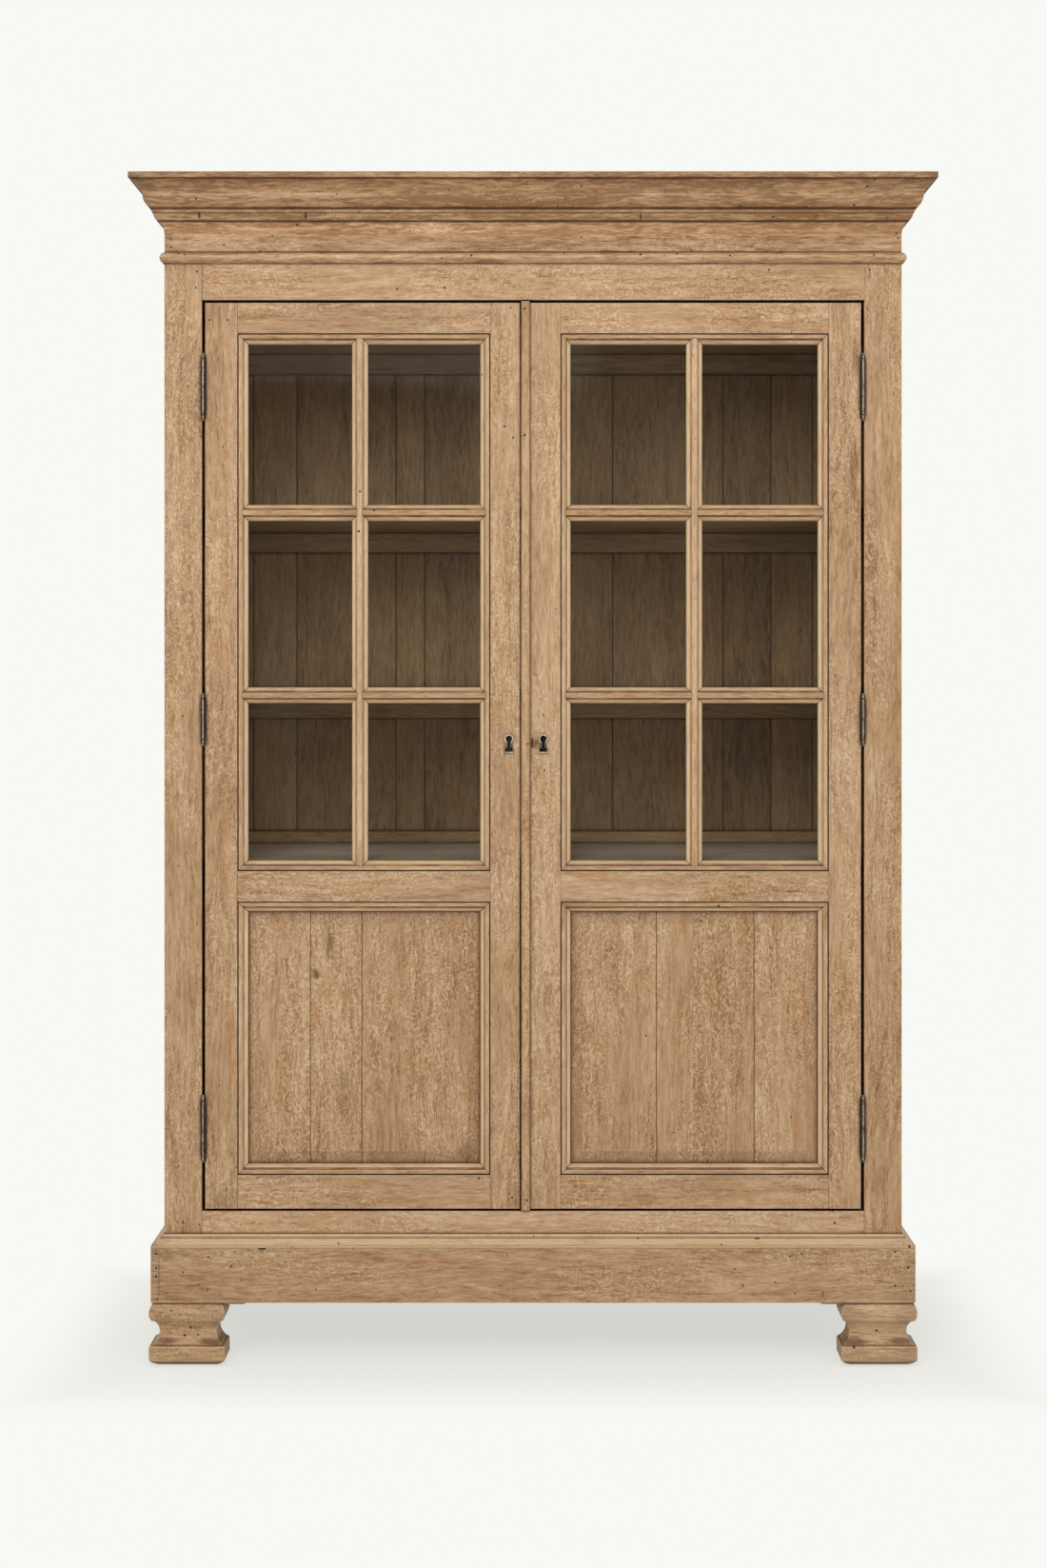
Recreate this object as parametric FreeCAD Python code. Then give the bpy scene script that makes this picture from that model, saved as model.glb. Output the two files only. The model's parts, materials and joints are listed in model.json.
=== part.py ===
import FreeCAD, Part
import itertools
import math
import os
from FreeCAD import Vector

# A tall oak bookcase with two glazed doors over fielded panels, a crown cornice and moulded feet.
# Millimetres, +Z up, the doors face -Y. The origin is on the floor under the middle of the cabinet.

# How far a quarter round, a flatter curve and a slight one bow from their chord to their corner
quarter_bow = 2 ** 0.5 - 1
flat_bow = 0.28
slight_bow = 0.14

# How many flats stand for the round of a small turned piece
turned_flats = 10

# Body
body_width = 1372.0
body_depth = 430.0
door_opening_height = 1694.0
post_width = 70.0
post_depth = 60.0
bottom_rail_show = 42.0
top_rail_show = 67.0
side_rail_thickness = 30.0

# Base
foot_height = 118.0
foot_width = 141.0
foot_depth = 68.0
foot_out = 25.0
foot_toe_height = 12.0
foot_toe_in = 18.0
foot_block_height = 38.0
foot_block_step = 4.5
foot_waist_height = 66.0
foot_waist_in = 17.0
foot_collar_height = 82.0
foot_collar_in = 9.0
foot_torus_low_in = 4.0
foot_torus_top_in = 7.0
glue_block_depth = 50.0
glue_block_drop = 38.0
glue_block_show = 12.0
glue_block_slant = 26.0
plinth_height = 102.0
plinth_out = 22.0
plinth_board = 45.0
plinth_back_board = 30.0
splay_height = 21.0
splay_fillet = 4.0
splay_roll = 5.0

# Top. A pair of numbers is a point of the crown's profile: how far out, then how far up
bead_height = 22.0
bead_out = 8.0
frieze_show = 34.0
frieze_board = 22.0
cornice_height = 103.0
cornice_out = 57.0
cornice_cove = (10.0, 22.0)
cornice_ovolo = (18.0, 36.0)
cornice_fillet_height = 6.5
cornice_round = (34.5, 64.0)
cornice_hollow = (54.0, 92.0)
cornice_step = 2.0
dust_board_thickness = 12.0
dust_board_sink = 1.0

# Joinery
tenon_length = 30.0
tenon_thickness = 10.0
tenon_shoulder = 8.0
tenon_fit = 0.2
tenon_end_gap = 2.0
groove_depth = 9.0
groove_fit = 0.2
panel_edge = 8.0
panel_rise = 5.0
panel_bevel = 23.0
panel_end_gap = 1.5
side_panel_sink = 4.0

# Inside
board_thickness = 22.0
board_fit = 1.0
board_side_gap = 2.0
ceiling_drop = 39.5
floor_step = 13.0
lower_bay_height = 297.0
middle_bay_height = 318.0
bearer_height = 40.0
bearer_thickness = 20.0
back_board_thickness = 15.0
back_board_rebate = 14.0
back_board_joint = 0.6
back_board_arris = 1.5
back_board_widths = (55.0, 89.0, 204.0, 59.0, 193.0, 193.5, 227.5, 98.5, 85.5)
rear_rail_thickness = 28.0
shelf_batten_height = 24.0

# Doors
door_thickness = 28.0
door_stop_gap = 0.5
hinge_gap = 6.0
meeting_gap = 2.5
meeting_x = -23.25
door_top_gap = 5.0
door_bottom_gap = 4.0
hinge_stile_width = 60.0
left_meeting_stile_width = 55.0
right_meeting_stile_width = 73.0
door_top_rail = 57.0
door_middle_rail = 57.0
door_bottom_rail = 63.0
door_panel_height = 508.0
moulding_depth = 14.0
moulding_sink = 1.0
quirk_width = 2.0
quirk_depth = 5.0
fillet_width = 6.5
slope_width = 4.5
slope_depth = 6.0
nosing_width = 6.0
nosing_edge = 11.5
bar_fillet_width = 9.0
bar_rib_width = 10.0
bar_rib_sink = 1.0
bar_tenon = 12.0
left_bar_shift = -8.0
right_bar_shift = 0.0
glass_thickness = 3.0
glass_gap = 1.5
putty_sink = 1.0
putty_land = 1.0
closing_bead_width = 16.0
closing_bead_out = 8.0
closing_bead_edge = 4.0
closing_bead_overhang = 3.0
closing_bead_end_radius = 5.0

# Hinges
hinge_from_top = 157.0
hinge_from_bottom = 150.0
hinge_above_middle_rail = 282.0
knuckle_radius = 4.5
knuckle_height = 50.0
middle_knuckle_height = 36.0
knuckle_gap = 0.3
knuckle_sink = 0.5
pin_radius = 2.5
pin_fit = 0.05
pin_end_gap = 1.0
finial_neck_radius = 2.6
finial_neck_height = 2.0
finial_bulb_radius = 4.2
finial_bulb_height = 5.5
finial_tip_radius = 1.0
finial_height = 13.0
finial_solid = 6.0
leaf_thickness = 2.0
leaf_margin = 2.0
leaf_start = 3.0
leaf_trim = 1.0

# Lock, bolts and escutcheons
lock_above_middle_rail = 237.0
lock_backset = 41.0
lock_case_thickness = 14.0
lock_case_height = 76.0
lock_case_past_key = 13.0
lock_plate_height = 104.0
lock_plate_width = 20.0
lock_plate_thickness = 2.5
lock_bolt_height = 20.0
lock_bolt_thickness = 8.0
lock_bolt_length = 32.0
lock_bolt_rise = 14.0
lock_bolt_travel = 12.0
lock_fit = 0.3
left_escutcheon_inset = 20.5
escutcheon_thickness = 1.6
escutcheon_head = 9.0
escutcheon_waist = 5.0
escutcheon_foot = 9.5
escutcheon_height = 36.0
escutcheon_rim = 3.0
escutcheon_flare = 8.0
dummy_keyhole_depth = 9.0
flush_bolt_inset = 14.0
flush_bolt_width = 10.0
flush_bolt_thickness = 8.0
flush_bolt_length = 130.0
flush_bolt_travel = 18.0
flush_bolt_fit = 0.4
flush_bolt_end_sink = 1.0
flush_plate_width = 20.0
flush_plate_thickness = 2.0
thumb_stem_radius = 3.0
thumb_knob_radius = 6.0
thumb_knob_height = 5.0
thumb_knob_ease = 1.5
thumb_out = 8.0
thumb_from_end = 82.0

# Levels, from the floor up
plinth_z = foot_height
carcass_z = plinth_z + plinth_height
rail_show_z = carcass_z + splay_height
opening_z = rail_show_z + bottom_rail_show
opening_top = opening_z + door_opening_height
bead_z = opening_top + top_rail_show
carcass_top = bead_z + bead_height
cornice_z = carcass_top + frieze_show
top_z = cornice_z + cornice_height
dust_board_z = top_z - dust_board_sink - dust_board_thickness

# Door levels
door_low = opening_z + door_bottom_gap
door_high = opening_top - door_top_gap
panel_z = (door_low + door_bottom_rail, door_low + door_bottom_rail + door_panel_height)
glass_z = (panel_z[1] + door_middle_rail, door_high - door_top_rail)
moulding_width = quirk_width + fillet_width + slope_width + nosing_width
half_fillet = bar_fillet_width / 2
half_bar = half_fillet + slope_width + nosing_width
lock_z = glass_z[0] + lock_above_middle_rail

# Shelf levels, each the top of a board
floor_top = door_low + floor_step
lower_shelf_top = glass_z[0] + moulding_width
middle_shelf_top = lower_shelf_top + lower_bay_height + board_thickness
upper_shelf_top = middle_shelf_top + middle_bay_height + board_thickness
ceiling_top = opening_top - ceiling_drop + board_thickness

# Planes across and front to back
half_width = body_width / 2
half_opening = half_width - post_width
face_y = (cornice_out - body_depth) / 2
back_y = face_y + body_depth
back_inner_y = back_y - back_board_thickness
door_back_y = face_y + door_thickness
stop_y = door_back_y + door_stop_gap
glass_y = face_y + moulding_depth
putty_y = glass_y + glass_thickness
putty_back_y = door_back_y - bar_rib_sink - putty_sink
front_post_y = (face_y, face_y + post_depth)
rear_post_y = (back_y - post_depth, back_y)
side_frame_y = (front_post_y[1], rear_post_y[0])
hinge_x = half_opening - hinge_gap / 2
hinge_y = face_y - knuckle_radius + knuckle_sink


def box(x, y, z):
    """A block from three (low, high) spans."""
    return Part.makeBox(x[1] - x[0], y[1] - y[0], z[1] - z[0], Vector(x[0], y[0], z[0]))


def span(a, b):
    """Two ends in rising order."""
    return (min(a, b), max(a, b))


def grow(ends, by):
    """A span made longer by the same amount at both ends."""
    return (ends[0] - by, ends[1] + by)


def around(middle, size):
    """A span of a given size about its middle."""
    return (middle - size / 2, middle + size / 2)


def mirrored(shape):
    """The same piece on the other side of the cabinet."""
    return shape.mirror(Vector(0, 0, 0), Vector(1, 0, 0))


class Outline:
    """A closed outline of lines and arcs, drawn with two numbers that a place function puts in space."""

    def __init__(self, place, a, b):
        self.place = place
        self.start = place(a, b)
        self.here = self.start
        self.a, self.b = a, b
        self.edges = []

    def line(self, a, b):
        end = self.place(a, b)
        self.edges.append(Part.LineSegment(self.here, end).toShape())
        self.here = end
        self.a, self.b = a, b
        return self

    def arc(self, through, to):
        end = self.place(*to)
        self.edges.append(Part.Arc(self.here, self.place(*through), end).toShape())
        self.here = end
        self.a, self.b = to
        return self

    def bend(self, corner, to, bow):
        """An arc drawn out from its chord towards a corner, by a share of the way."""
        here = (self.a, self.b)
        through = [(p + q) / 2 + bow * (c - (p + q) / 2) for p, q, c in zip(here, to, corner)]
        return self.arc(through, to)

    def face(self):
        if not self.here.isEqual(self.start, 1e-6):
            self.edges.append(Part.LineSegment(self.here, self.start).toShape())
        return Part.Face(Part.Wire(self.edges))


def flat_face(corners):
    return Part.Face(Part.makePolygon(corners + corners[:1]))


def flat_sided(rings):
    """A solid with a flat end on its first and last ring of corners, and flat sides from ring to ring."""
    faces = [flat_face(rings[0][::-1]), flat_face(rings[-1])]
    for low, high in zip(rings, rings[1:]):
        for i in range(len(low)):
            faces.append(flat_face([low[i - 1], low[i], high[i], high[i - 1]]))
    solid = Part.makeSolid(Part.makeShell(faces))
    if solid.Volume < 0:
        solid.reverse()
    return solid


def turned(place, profile):
    """A small turned piece, from pairs of a radius and a level along its axis."""
    angles = [2 * math.pi * i / turned_flats for i in range(turned_flats)]
    rings = []
    for radius, level in profile:
        rings.append([place(radius * math.cos(angle), radius * math.sin(angle), level) for angle in angles])
    return flat_sided(rings)


def plan_prism(points, z):
    """A prism that stands on a plan of straight sides."""
    outline = Outline(lambda x, y: Vector(x, y, z[0]), *points[0])
    for point in points[1:]:
        outline.line(*point)
    return outline.face().extrude(Vector(0, 0, z[1] - z[0]))


def surround(profile, out):
    """Front, left and right lengths of a moulding round the body, mitred at the front corners."""
    z = (0.0, top_z)
    near = face_y - out
    wide = half_width + out
    front = profile(lambda a, b: Vector(-wide, face_y - a, b)).extrude(Vector(2 * wide, 0, 0))
    corners = [(-wide, near), (wide, near), (half_width, face_y), (-half_width, face_y)]
    front = front.common(plan_prism(corners, z))
    left = profile(lambda a, b: Vector(-half_width - a, near, b)).extrude(Vector(0, back_y - near, 0))
    corners = [(-wide, near), (-half_width, face_y), (-half_width, back_y), (-wide, back_y)]
    left = left.common(plan_prism(corners, z))
    return [front, left, mirrored(left)]


def tenon_spans(spans, along, reach, slack):
    """The spans of the stub tenons on both ends of a rail that runs along axis 0 or 1."""
    across = 1 - along
    result = list(spans)
    result[along] = grow(spans[along], reach)
    result[across] = grow(around(sum(spans[across]) / 2, tenon_thickness), slack)
    result[2] = grow(spans[2], slack - tenon_shoulder)
    return result


def tenoned(spans, along):
    """A rail with a stub tenon on each end."""
    tenons = box(*tenon_spans(spans, along, tenon_length, 0.0))
    return box(*spans).fuse(tenons).removeSplitter()


def mortises(spans, along):
    """The room that a rail's tenons take in the pieces at its ends."""
    return box(*tenon_spans(spans, along, tenon_length + tenon_end_gap, tenon_fit))


def fielded_panel(x, z, y, margin):
    """A panel in an opening, with thin edges at y and a bevelled field that stands out from them to -Y."""
    reach = groove_depth - panel_end_gap
    edges = box(grow(x, reach), (y, y + panel_edge), grow(z, reach))
    foot = rectangle(grow(x, -margin), grow(z, -margin), y)
    inset = margin + panel_bevel
    field = rectangle(grow(x, -inset), grow(z, -inset), y - panel_rise)
    return edges.fuse(flat_sided([foot, field])).removeSplitter()


def panel_groove(x, z, y):
    """The groove that the thin edges of a panel sit in."""
    return box(grow(x, groove_depth), grow((y, y + panel_edge), groove_fit), grow(z, groove_depth))


def rectangle(x, z, y):
    """The corners of a rectangle in a plane that faces the front."""
    return [Vector(x[0], y, z[0]), Vector(x[1], y, z[0]), Vector(x[1], y, z[1]), Vector(x[0], y, z[1])]


# Base


def foot_face(place, width):
    """A foot's outline: toe, square block, cove, collar and torus on one edge, plain on the other."""
    outline = Outline(place, width, 0.0)
    outline.line(foot_toe_in, 0.0)
    outline.bend((0.0, 0.0), (0.0, foot_toe_height), slight_bow)
    outline.line(0.0, foot_block_height)
    outline.line(foot_block_step, foot_block_height + foot_block_step / 2)
    outline.arc((foot_waist_in, foot_waist_height), (foot_collar_in, foot_collar_height))
    outline.line(foot_torus_low_in, foot_collar_height + foot_block_step / 2)
    torus_middle = (foot_collar_height + foot_height) / 2
    outline.arc((0.0, torus_middle), (foot_torus_top_in, foot_height))
    outline.line(width, foot_height)
    return outline.face()


def left_foot(y, front_moulded):
    """A left foot. Its sides are moulded, and so is its front where it shows."""
    outer = -half_width - foot_out
    inner = outer + foot_width
    run = Vector(0, y[1] - y[0], 0)
    foot = foot_face(lambda a, b: Vector(outer + a, y[0], b), foot_width).extrude(run)
    foot = foot.common(foot_face(lambda a, b: Vector(inner - a, y[0], b), foot_width).extrude(run))
    if front_moulded:
        across = Vector(foot_width, 0, 0)
        foot = foot.common(foot_face(lambda a, b: Vector(outer, y[0] + a, b), foot_depth).extrude(across))
    return foot


front_foot_y = (face_y - foot_out, face_y - foot_out + foot_depth)
rear_foot_y = (back_y - foot_depth, back_y)


def left_glue_block(y):
    """A wedge glued behind a foot, under the plinth."""
    outer = -half_width
    inner = -half_width - foot_out + foot_width + glue_block_show
    outline = Outline(lambda a, b: Vector(a, y[0], b), outer, foot_height)
    outline.line(inner, foot_height)
    outline.line(inner - glue_block_slant, foot_height - glue_block_drop)
    outline.line(outer + glue_block_slant, foot_height - glue_block_drop)
    return outline.face().extrude(Vector(0, y[1] - y[0], 0))


def glue_blocks():
    """One block behind each front foot and one before each rear foot."""
    front = left_glue_block((front_foot_y[1], front_foot_y[1] + glue_block_depth))
    rear = left_glue_block((rear_foot_y[0] - glue_block_depth, rear_foot_y[0]))
    return [front, mirrored(front), rear, mirrored(rear)]


plinth_levels = (plinth_z, carcass_z)
plinth_side_x = (-half_width - plinth_out, -half_width - plinth_out + plinth_board)
plinth_front_y = (face_y - plinth_out, face_y - plinth_out + plinth_board)


def plinth_front():
    """The front board of the plinth, over the ends of the side boards."""
    return box((-half_width - plinth_out, half_width + plinth_out), plinth_front_y, plinth_levels)


def plinth_sides():
    left = box(plinth_side_x, (plinth_front_y[1], back_y), plinth_levels)
    return [left, mirrored(left)]


def plinth_back():
    return box((plinth_side_x[1], -plinth_side_x[1]), (back_y - plinth_back_board, back_y), plinth_levels)


def splay_profile(place):
    """The splayed strip that covers the ledge of the plinth."""
    outline = Outline(place, 0.0, carcass_z)
    outline.line(plinth_out, carcass_z)
    outline.line(plinth_out, carcass_z + splay_fillet)
    outline.line(plinth_out - splay_fillet / 2, carcass_z + splay_fillet)
    outline.line(splay_roll, rail_show_z - splay_roll)
    outline.bend((splay_roll, rail_show_z), (splay_roll / 2, rail_show_z), quarter_bow)
    outline.line(0.0, rail_show_z)
    return outline.face()


# Carcass rails, as spans in x, y and z

face_rail_y = (face_y, stop_y)
face_rail_x = (-half_opening, half_opening)
face_top_spans = (face_rail_x, face_rail_y, (opening_top, carcass_top))
face_bottom_spans = (face_rail_x, face_rail_y, (carcass_z, opening_z))
rear_rail_y = (back_inner_y - rear_rail_thickness, back_inner_y)
rear_top_spans = (face_rail_x, rear_rail_y, (ceiling_top, carcass_top))
rear_bottom_spans = (face_rail_x, rear_rail_y, (carcass_z, floor_top - board_thickness))
left_side_x = (-half_width, -half_width + side_rail_thickness)
side_rail_levels = ((carcass_z, panel_z[0]), (panel_z[1], glass_z[0]), (glass_z[1], carcass_top))
left_side_spans = [(left_side_x, side_frame_y, z) for z in side_rail_levels]
side_panel_levels = (panel_z, glass_z)
side_panel_x = -half_width + side_panel_sink + panel_rise


def turned_left(shape):
    """A piece that faced -Y, turned about the upright axis to face -X."""
    return shape.rotated(Vector(0, 0, 0), Vector(0, 0, 1), -90)


def left_side_panel(z):
    return turned_left(fielded_panel((-side_frame_y[1], -side_frame_y[0]), z, side_panel_x, 0.0))


def left_side_groove(z):
    return turned_left(panel_groove((-side_frame_y[1], -side_frame_y[0]), z, side_panel_x))


left_side_grooves = [left_side_groove(z) for z in side_panel_levels]


def left_post(y, rails):
    """A corner post, mortised for its rails and grooved for the side panels."""
    post = box((-half_width, -half_opening), y, (carcass_z, carcass_top))
    cutters = [mortises(spans, 0) for spans in rails]
    cutters += [mortises(spans, 1) for spans in left_side_spans]
    return post.cut(cutters + left_side_grooves)


def left_front_post():
    return left_post(front_post_y, (face_top_spans, face_bottom_spans))


def left_rear_post():
    """A rear post also has the rebate that the back boards are nailed into."""
    rebate_x = (-half_opening - back_board_rebate, -half_opening)
    rebate = box(rebate_x, (back_inner_y, back_y), (carcass_z, carcass_top))
    return left_post(rear_post_y, (rear_top_spans, rear_bottom_spans)).cut(rebate)


def flush_bolt_socket(z):
    """The socket in a face rail that takes the end of a flush bolt."""
    return box(grow(flush_bolt_x, flush_bolt_fit), grow(flush_bolt_y, flush_bolt_fit), z)


def face_top_rail():
    depth = flush_bolt_travel - door_top_gap
    return tenoned(face_top_spans, 0).cut(flush_bolt_socket((opening_top, opening_top + depth)))


def face_bottom_rail():
    depth = flush_bolt_travel - door_bottom_gap
    return tenoned(face_bottom_spans, 0).cut(flush_bolt_socket((opening_z - depth, opening_z)))


def left_side_rails():
    return [tenoned(spans, 1).cut(left_side_grooves) for spans in left_side_spans]


def rear_rails():
    return [tenoned(rear_top_spans, 0), tenoned(rear_bottom_spans, 0)]


def back_board(x):
    """One upright board of the back, with its inner arrises eased."""
    joint = grow(x, -back_board_joint / 2)
    eased = grow(joint, -back_board_arris)
    ease_y = back_inner_y + back_board_arris
    corners = [(joint[0], back_y), (joint[1], back_y), (joint[1], ease_y)]
    corners += [(eased[1], back_inner_y), (eased[0], back_inner_y), (joint[0], ease_y)]
    return plan_prism(corners, (carcass_z, carcass_top))


def back_boards():
    """Boards of uneven width, laid side by side until the back is filled."""
    end = half_opening + back_board_rebate
    low = -end
    boards = []
    for width in itertools.cycle(back_board_widths):
        high = min(low + width, end)
        boards.append(back_board((low, high)))
        if high == end:
            return boards
        low = high


# Boards and shelves


batten_y = (back_inner_y - bearer_thickness, back_inner_y)
floor_batten_y = (rear_rail_y[0] - bearer_thickness, rear_rail_y[0])


def level_board(top, back):
    """A shelf or floor board that runs to a plane at the back, notched round the four posts."""
    reach = half_width - side_rail_thickness - board_side_gap
    board = box((-reach, reach), (stop_y, back), (top - board_thickness, top))
    for post_y in (front_post_y, rear_post_y):
        notch = box((-half_width, -half_opening + board_fit), grow(post_y, board_fit), (0.0, top_z))
        board = board.cut([notch, mirrored(notch)])
    return board


def bearers():
    """Side cleats on the posts and battens on the back, under every board, and one behind the lower shelf."""
    pieces = []
    for top in (floor_top, lower_shelf_top, middle_shelf_top, upper_shelf_top, ceiling_top):
        z = (top - board_thickness - bearer_height, top - board_thickness)
        y = floor_batten_y if top == floor_top else batten_y
        cleat = box((-half_opening, -half_opening + bearer_thickness), (stop_y, y[0]), z)
        pieces += [cleat, mirrored(cleat)]
        pieces.append(box((-half_opening, half_opening), y, z))
    batten_z = (lower_shelf_top - board_thickness, lower_shelf_top + shelf_batten_height)
    pieces.append(box((-half_opening, half_opening), batten_y, batten_z))
    return pieces


# Frieze and cornice


def frieze_boards():
    """The box of boards that carries the cornice."""
    z = (carcass_top, dust_board_z)
    inner = half_width - frieze_board
    front = box((-half_width, half_width), (face_y, face_y + frieze_board), z)
    left = box((-half_width, -inner), (face_y + frieze_board, back_y), z)
    back = box((-inner, inner), (back_y - frieze_board, back_y), z)
    return [front, left, mirrored(left), back]


def bead_profile(place):
    """A half-round bead planted on the posts and the top rail."""
    outline = Outline(place, 0.0, bead_z)
    outline.arc((bead_out, bead_z + bead_height / 2), (0.0, carcass_top))
    return outline.face()


def cornice_profile(place):
    """The crown moulding: cove, ovolo, fillet, then a round and a hollow under the top fillet."""
    cove_out, cove_up = cornice_cove
    ovolo_out, ovolo_up = cornice_ovolo
    round_out = cornice_round[0]
    hollow_up = cornice_hollow[1]
    fillet_out = ovolo_out + cornice_step
    fillet_up = ovolo_up + cornice_fillet_height
    outline = Outline(lambda a, b: place(a, cornice_z + b), 0.0, 0.0)
    outline.bend((0.0, cove_up), cornice_cove, flat_bow)
    outline.line(cove_out + cornice_step, cove_up)
    outline.bend((ovolo_out, cove_up), cornice_ovolo, flat_bow)
    outline.line(fillet_out, ovolo_up)
    outline.line(fillet_out, fillet_up)
    outline.line(fillet_out + cornice_step, fillet_up)
    outline.bend((round_out, fillet_up), cornice_round, flat_bow)
    outline.bend((round_out, hollow_up), cornice_hollow, flat_bow)
    outline.line(cornice_out, hollow_up)
    outline.line(cornice_out, cornice_height)
    outline.line(0.0, cornice_height)
    return outline.face()


def dust_board():
    """The board that closes the top, behind the crown moulding."""
    z = (dust_board_z, dust_board_z + dust_board_thickness)
    return box((-half_width, half_width), (face_y, back_y), z)


# Hinges, for the left door. Those of the right door are mirrored


def hinge_places():
    """Each hinge as the level of its middle and the height of one knuckle."""
    return [
        (door_low + hinge_from_bottom, knuckle_height),
        (glass_z[0] + hinge_above_middle_rail, middle_knuckle_height),
        (door_high - hinge_from_top, knuckle_height),
    ]


def upper_knuckle(z, height):
    """A knuckle with a blind bore for the pin and a pointed finial on a short neck."""
    foot = Vector(-hinge_x, hinge_y, z + knuckle_gap / 2)
    top = foot.z + height
    profile = [
        (knuckle_radius, foot.z),
        (knuckle_radius, top),
        (finial_neck_radius, top + finial_neck_height),
        (finial_bulb_radius, top + finial_bulb_height),
        (finial_tip_radius, top + finial_height),
    ]
    knuckle = turned(lambda a, b, level: Vector(foot.x + a, foot.y + b, level), profile)
    return knuckle.cut(Part.makeCylinder(pin_radius + pin_fit, height - finial_solid, foot))


def leaf(x, z):
    """The plate of a hinge, flat against the edge it is screwed to."""
    return box(x, (hinge_y + leaf_start, door_back_y - leaf_margin), grow(z, -leaf_trim))


def left_door_leaves():
    """The upper halves of the hinges, which lift off with the door."""
    edge = -hinge_x + hinge_gap / 2
    leaves = []
    for z, height in hinge_places():
        plate = leaf((edge - leaf_thickness, edge), (z, z + height))
        leaves.append(upper_knuckle(z, height).fuse(plate).removeSplitter())
    return leaves


def left_post_leaves():
    """The lower halves of the hinges, which stay on the post."""
    edge = -hinge_x - hinge_gap / 2
    leaves = []
    for z, height in hinge_places():
        knuckle = upper_knuckle(z, height).mirror(Vector(0, 0, z), Vector(0, 0, 1))
        plate = leaf((edge, edge + leaf_thickness), (z - height, z))
        leaves.append(knuckle.fuse(plate).removeSplitter())
    return leaves


def left_pins():
    """Pins that stand in the lower knuckles and carry the upper ones."""
    pins = []
    for z, height in hinge_places():
        depth = height - finial_solid + knuckle_gap / 2
        length = 2 * depth - pin_end_gap
        pins.append(Part.makeCylinder(pin_radius, length, Vector(-hinge_x, hinge_y, z - depth)))
    return pins


def both_sides(left_pieces):
    """Left pieces and their mirror images."""
    return left_pieces + [mirrored(piece) for piece in left_pieces]


# Escutcheons


def keyhole(x, y, rim, round_head):
    """A keyhole through a span of y, a rim inside the outline of its escutcheon."""
    head = escutcheon_head - rim
    waist = escutcheon_waist - rim / 2
    foot = escutcheon_foot - rim
    low = rim - escutcheon_height / 2
    middle = escutcheon_height / 2 - escutcheon_head
    neck = middle - (head ** 2 - waist ** 2) ** 0.5
    outline = Outline(lambda a, b: Vector(x + a, y[0], lock_z + b), -foot, low)
    outline.line(foot, low)
    outline.line(waist, low + escutcheon_flare)
    outline.line(waist, neck)
    if round_head:
        outline.arc((0.0, middle + head), (-waist, neck))
    else:
        outline.line(head, neck).line(head, middle + head).line(-head, middle + head)
        outline.line(-head, neck).line(-waist, neck)
    outline.line(-waist, low + escutcheon_flare)
    return outline.face().extrude(Vector(0, y[1] - y[0], 0))


def key_mortise(x, y):
    """The way for the key behind an escutcheon, chopped square at its head."""
    return keyhole(x, y, escutcheon_rim, False)


def escutcheon(x):
    """A steel rim planted round a keyhole."""
    y = (face_y - escutcheon_thickness, face_y)
    return keyhole(x, y, 0.0, True).cut(keyhole(x, y, escutcheon_rim, True))


# Doors


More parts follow.
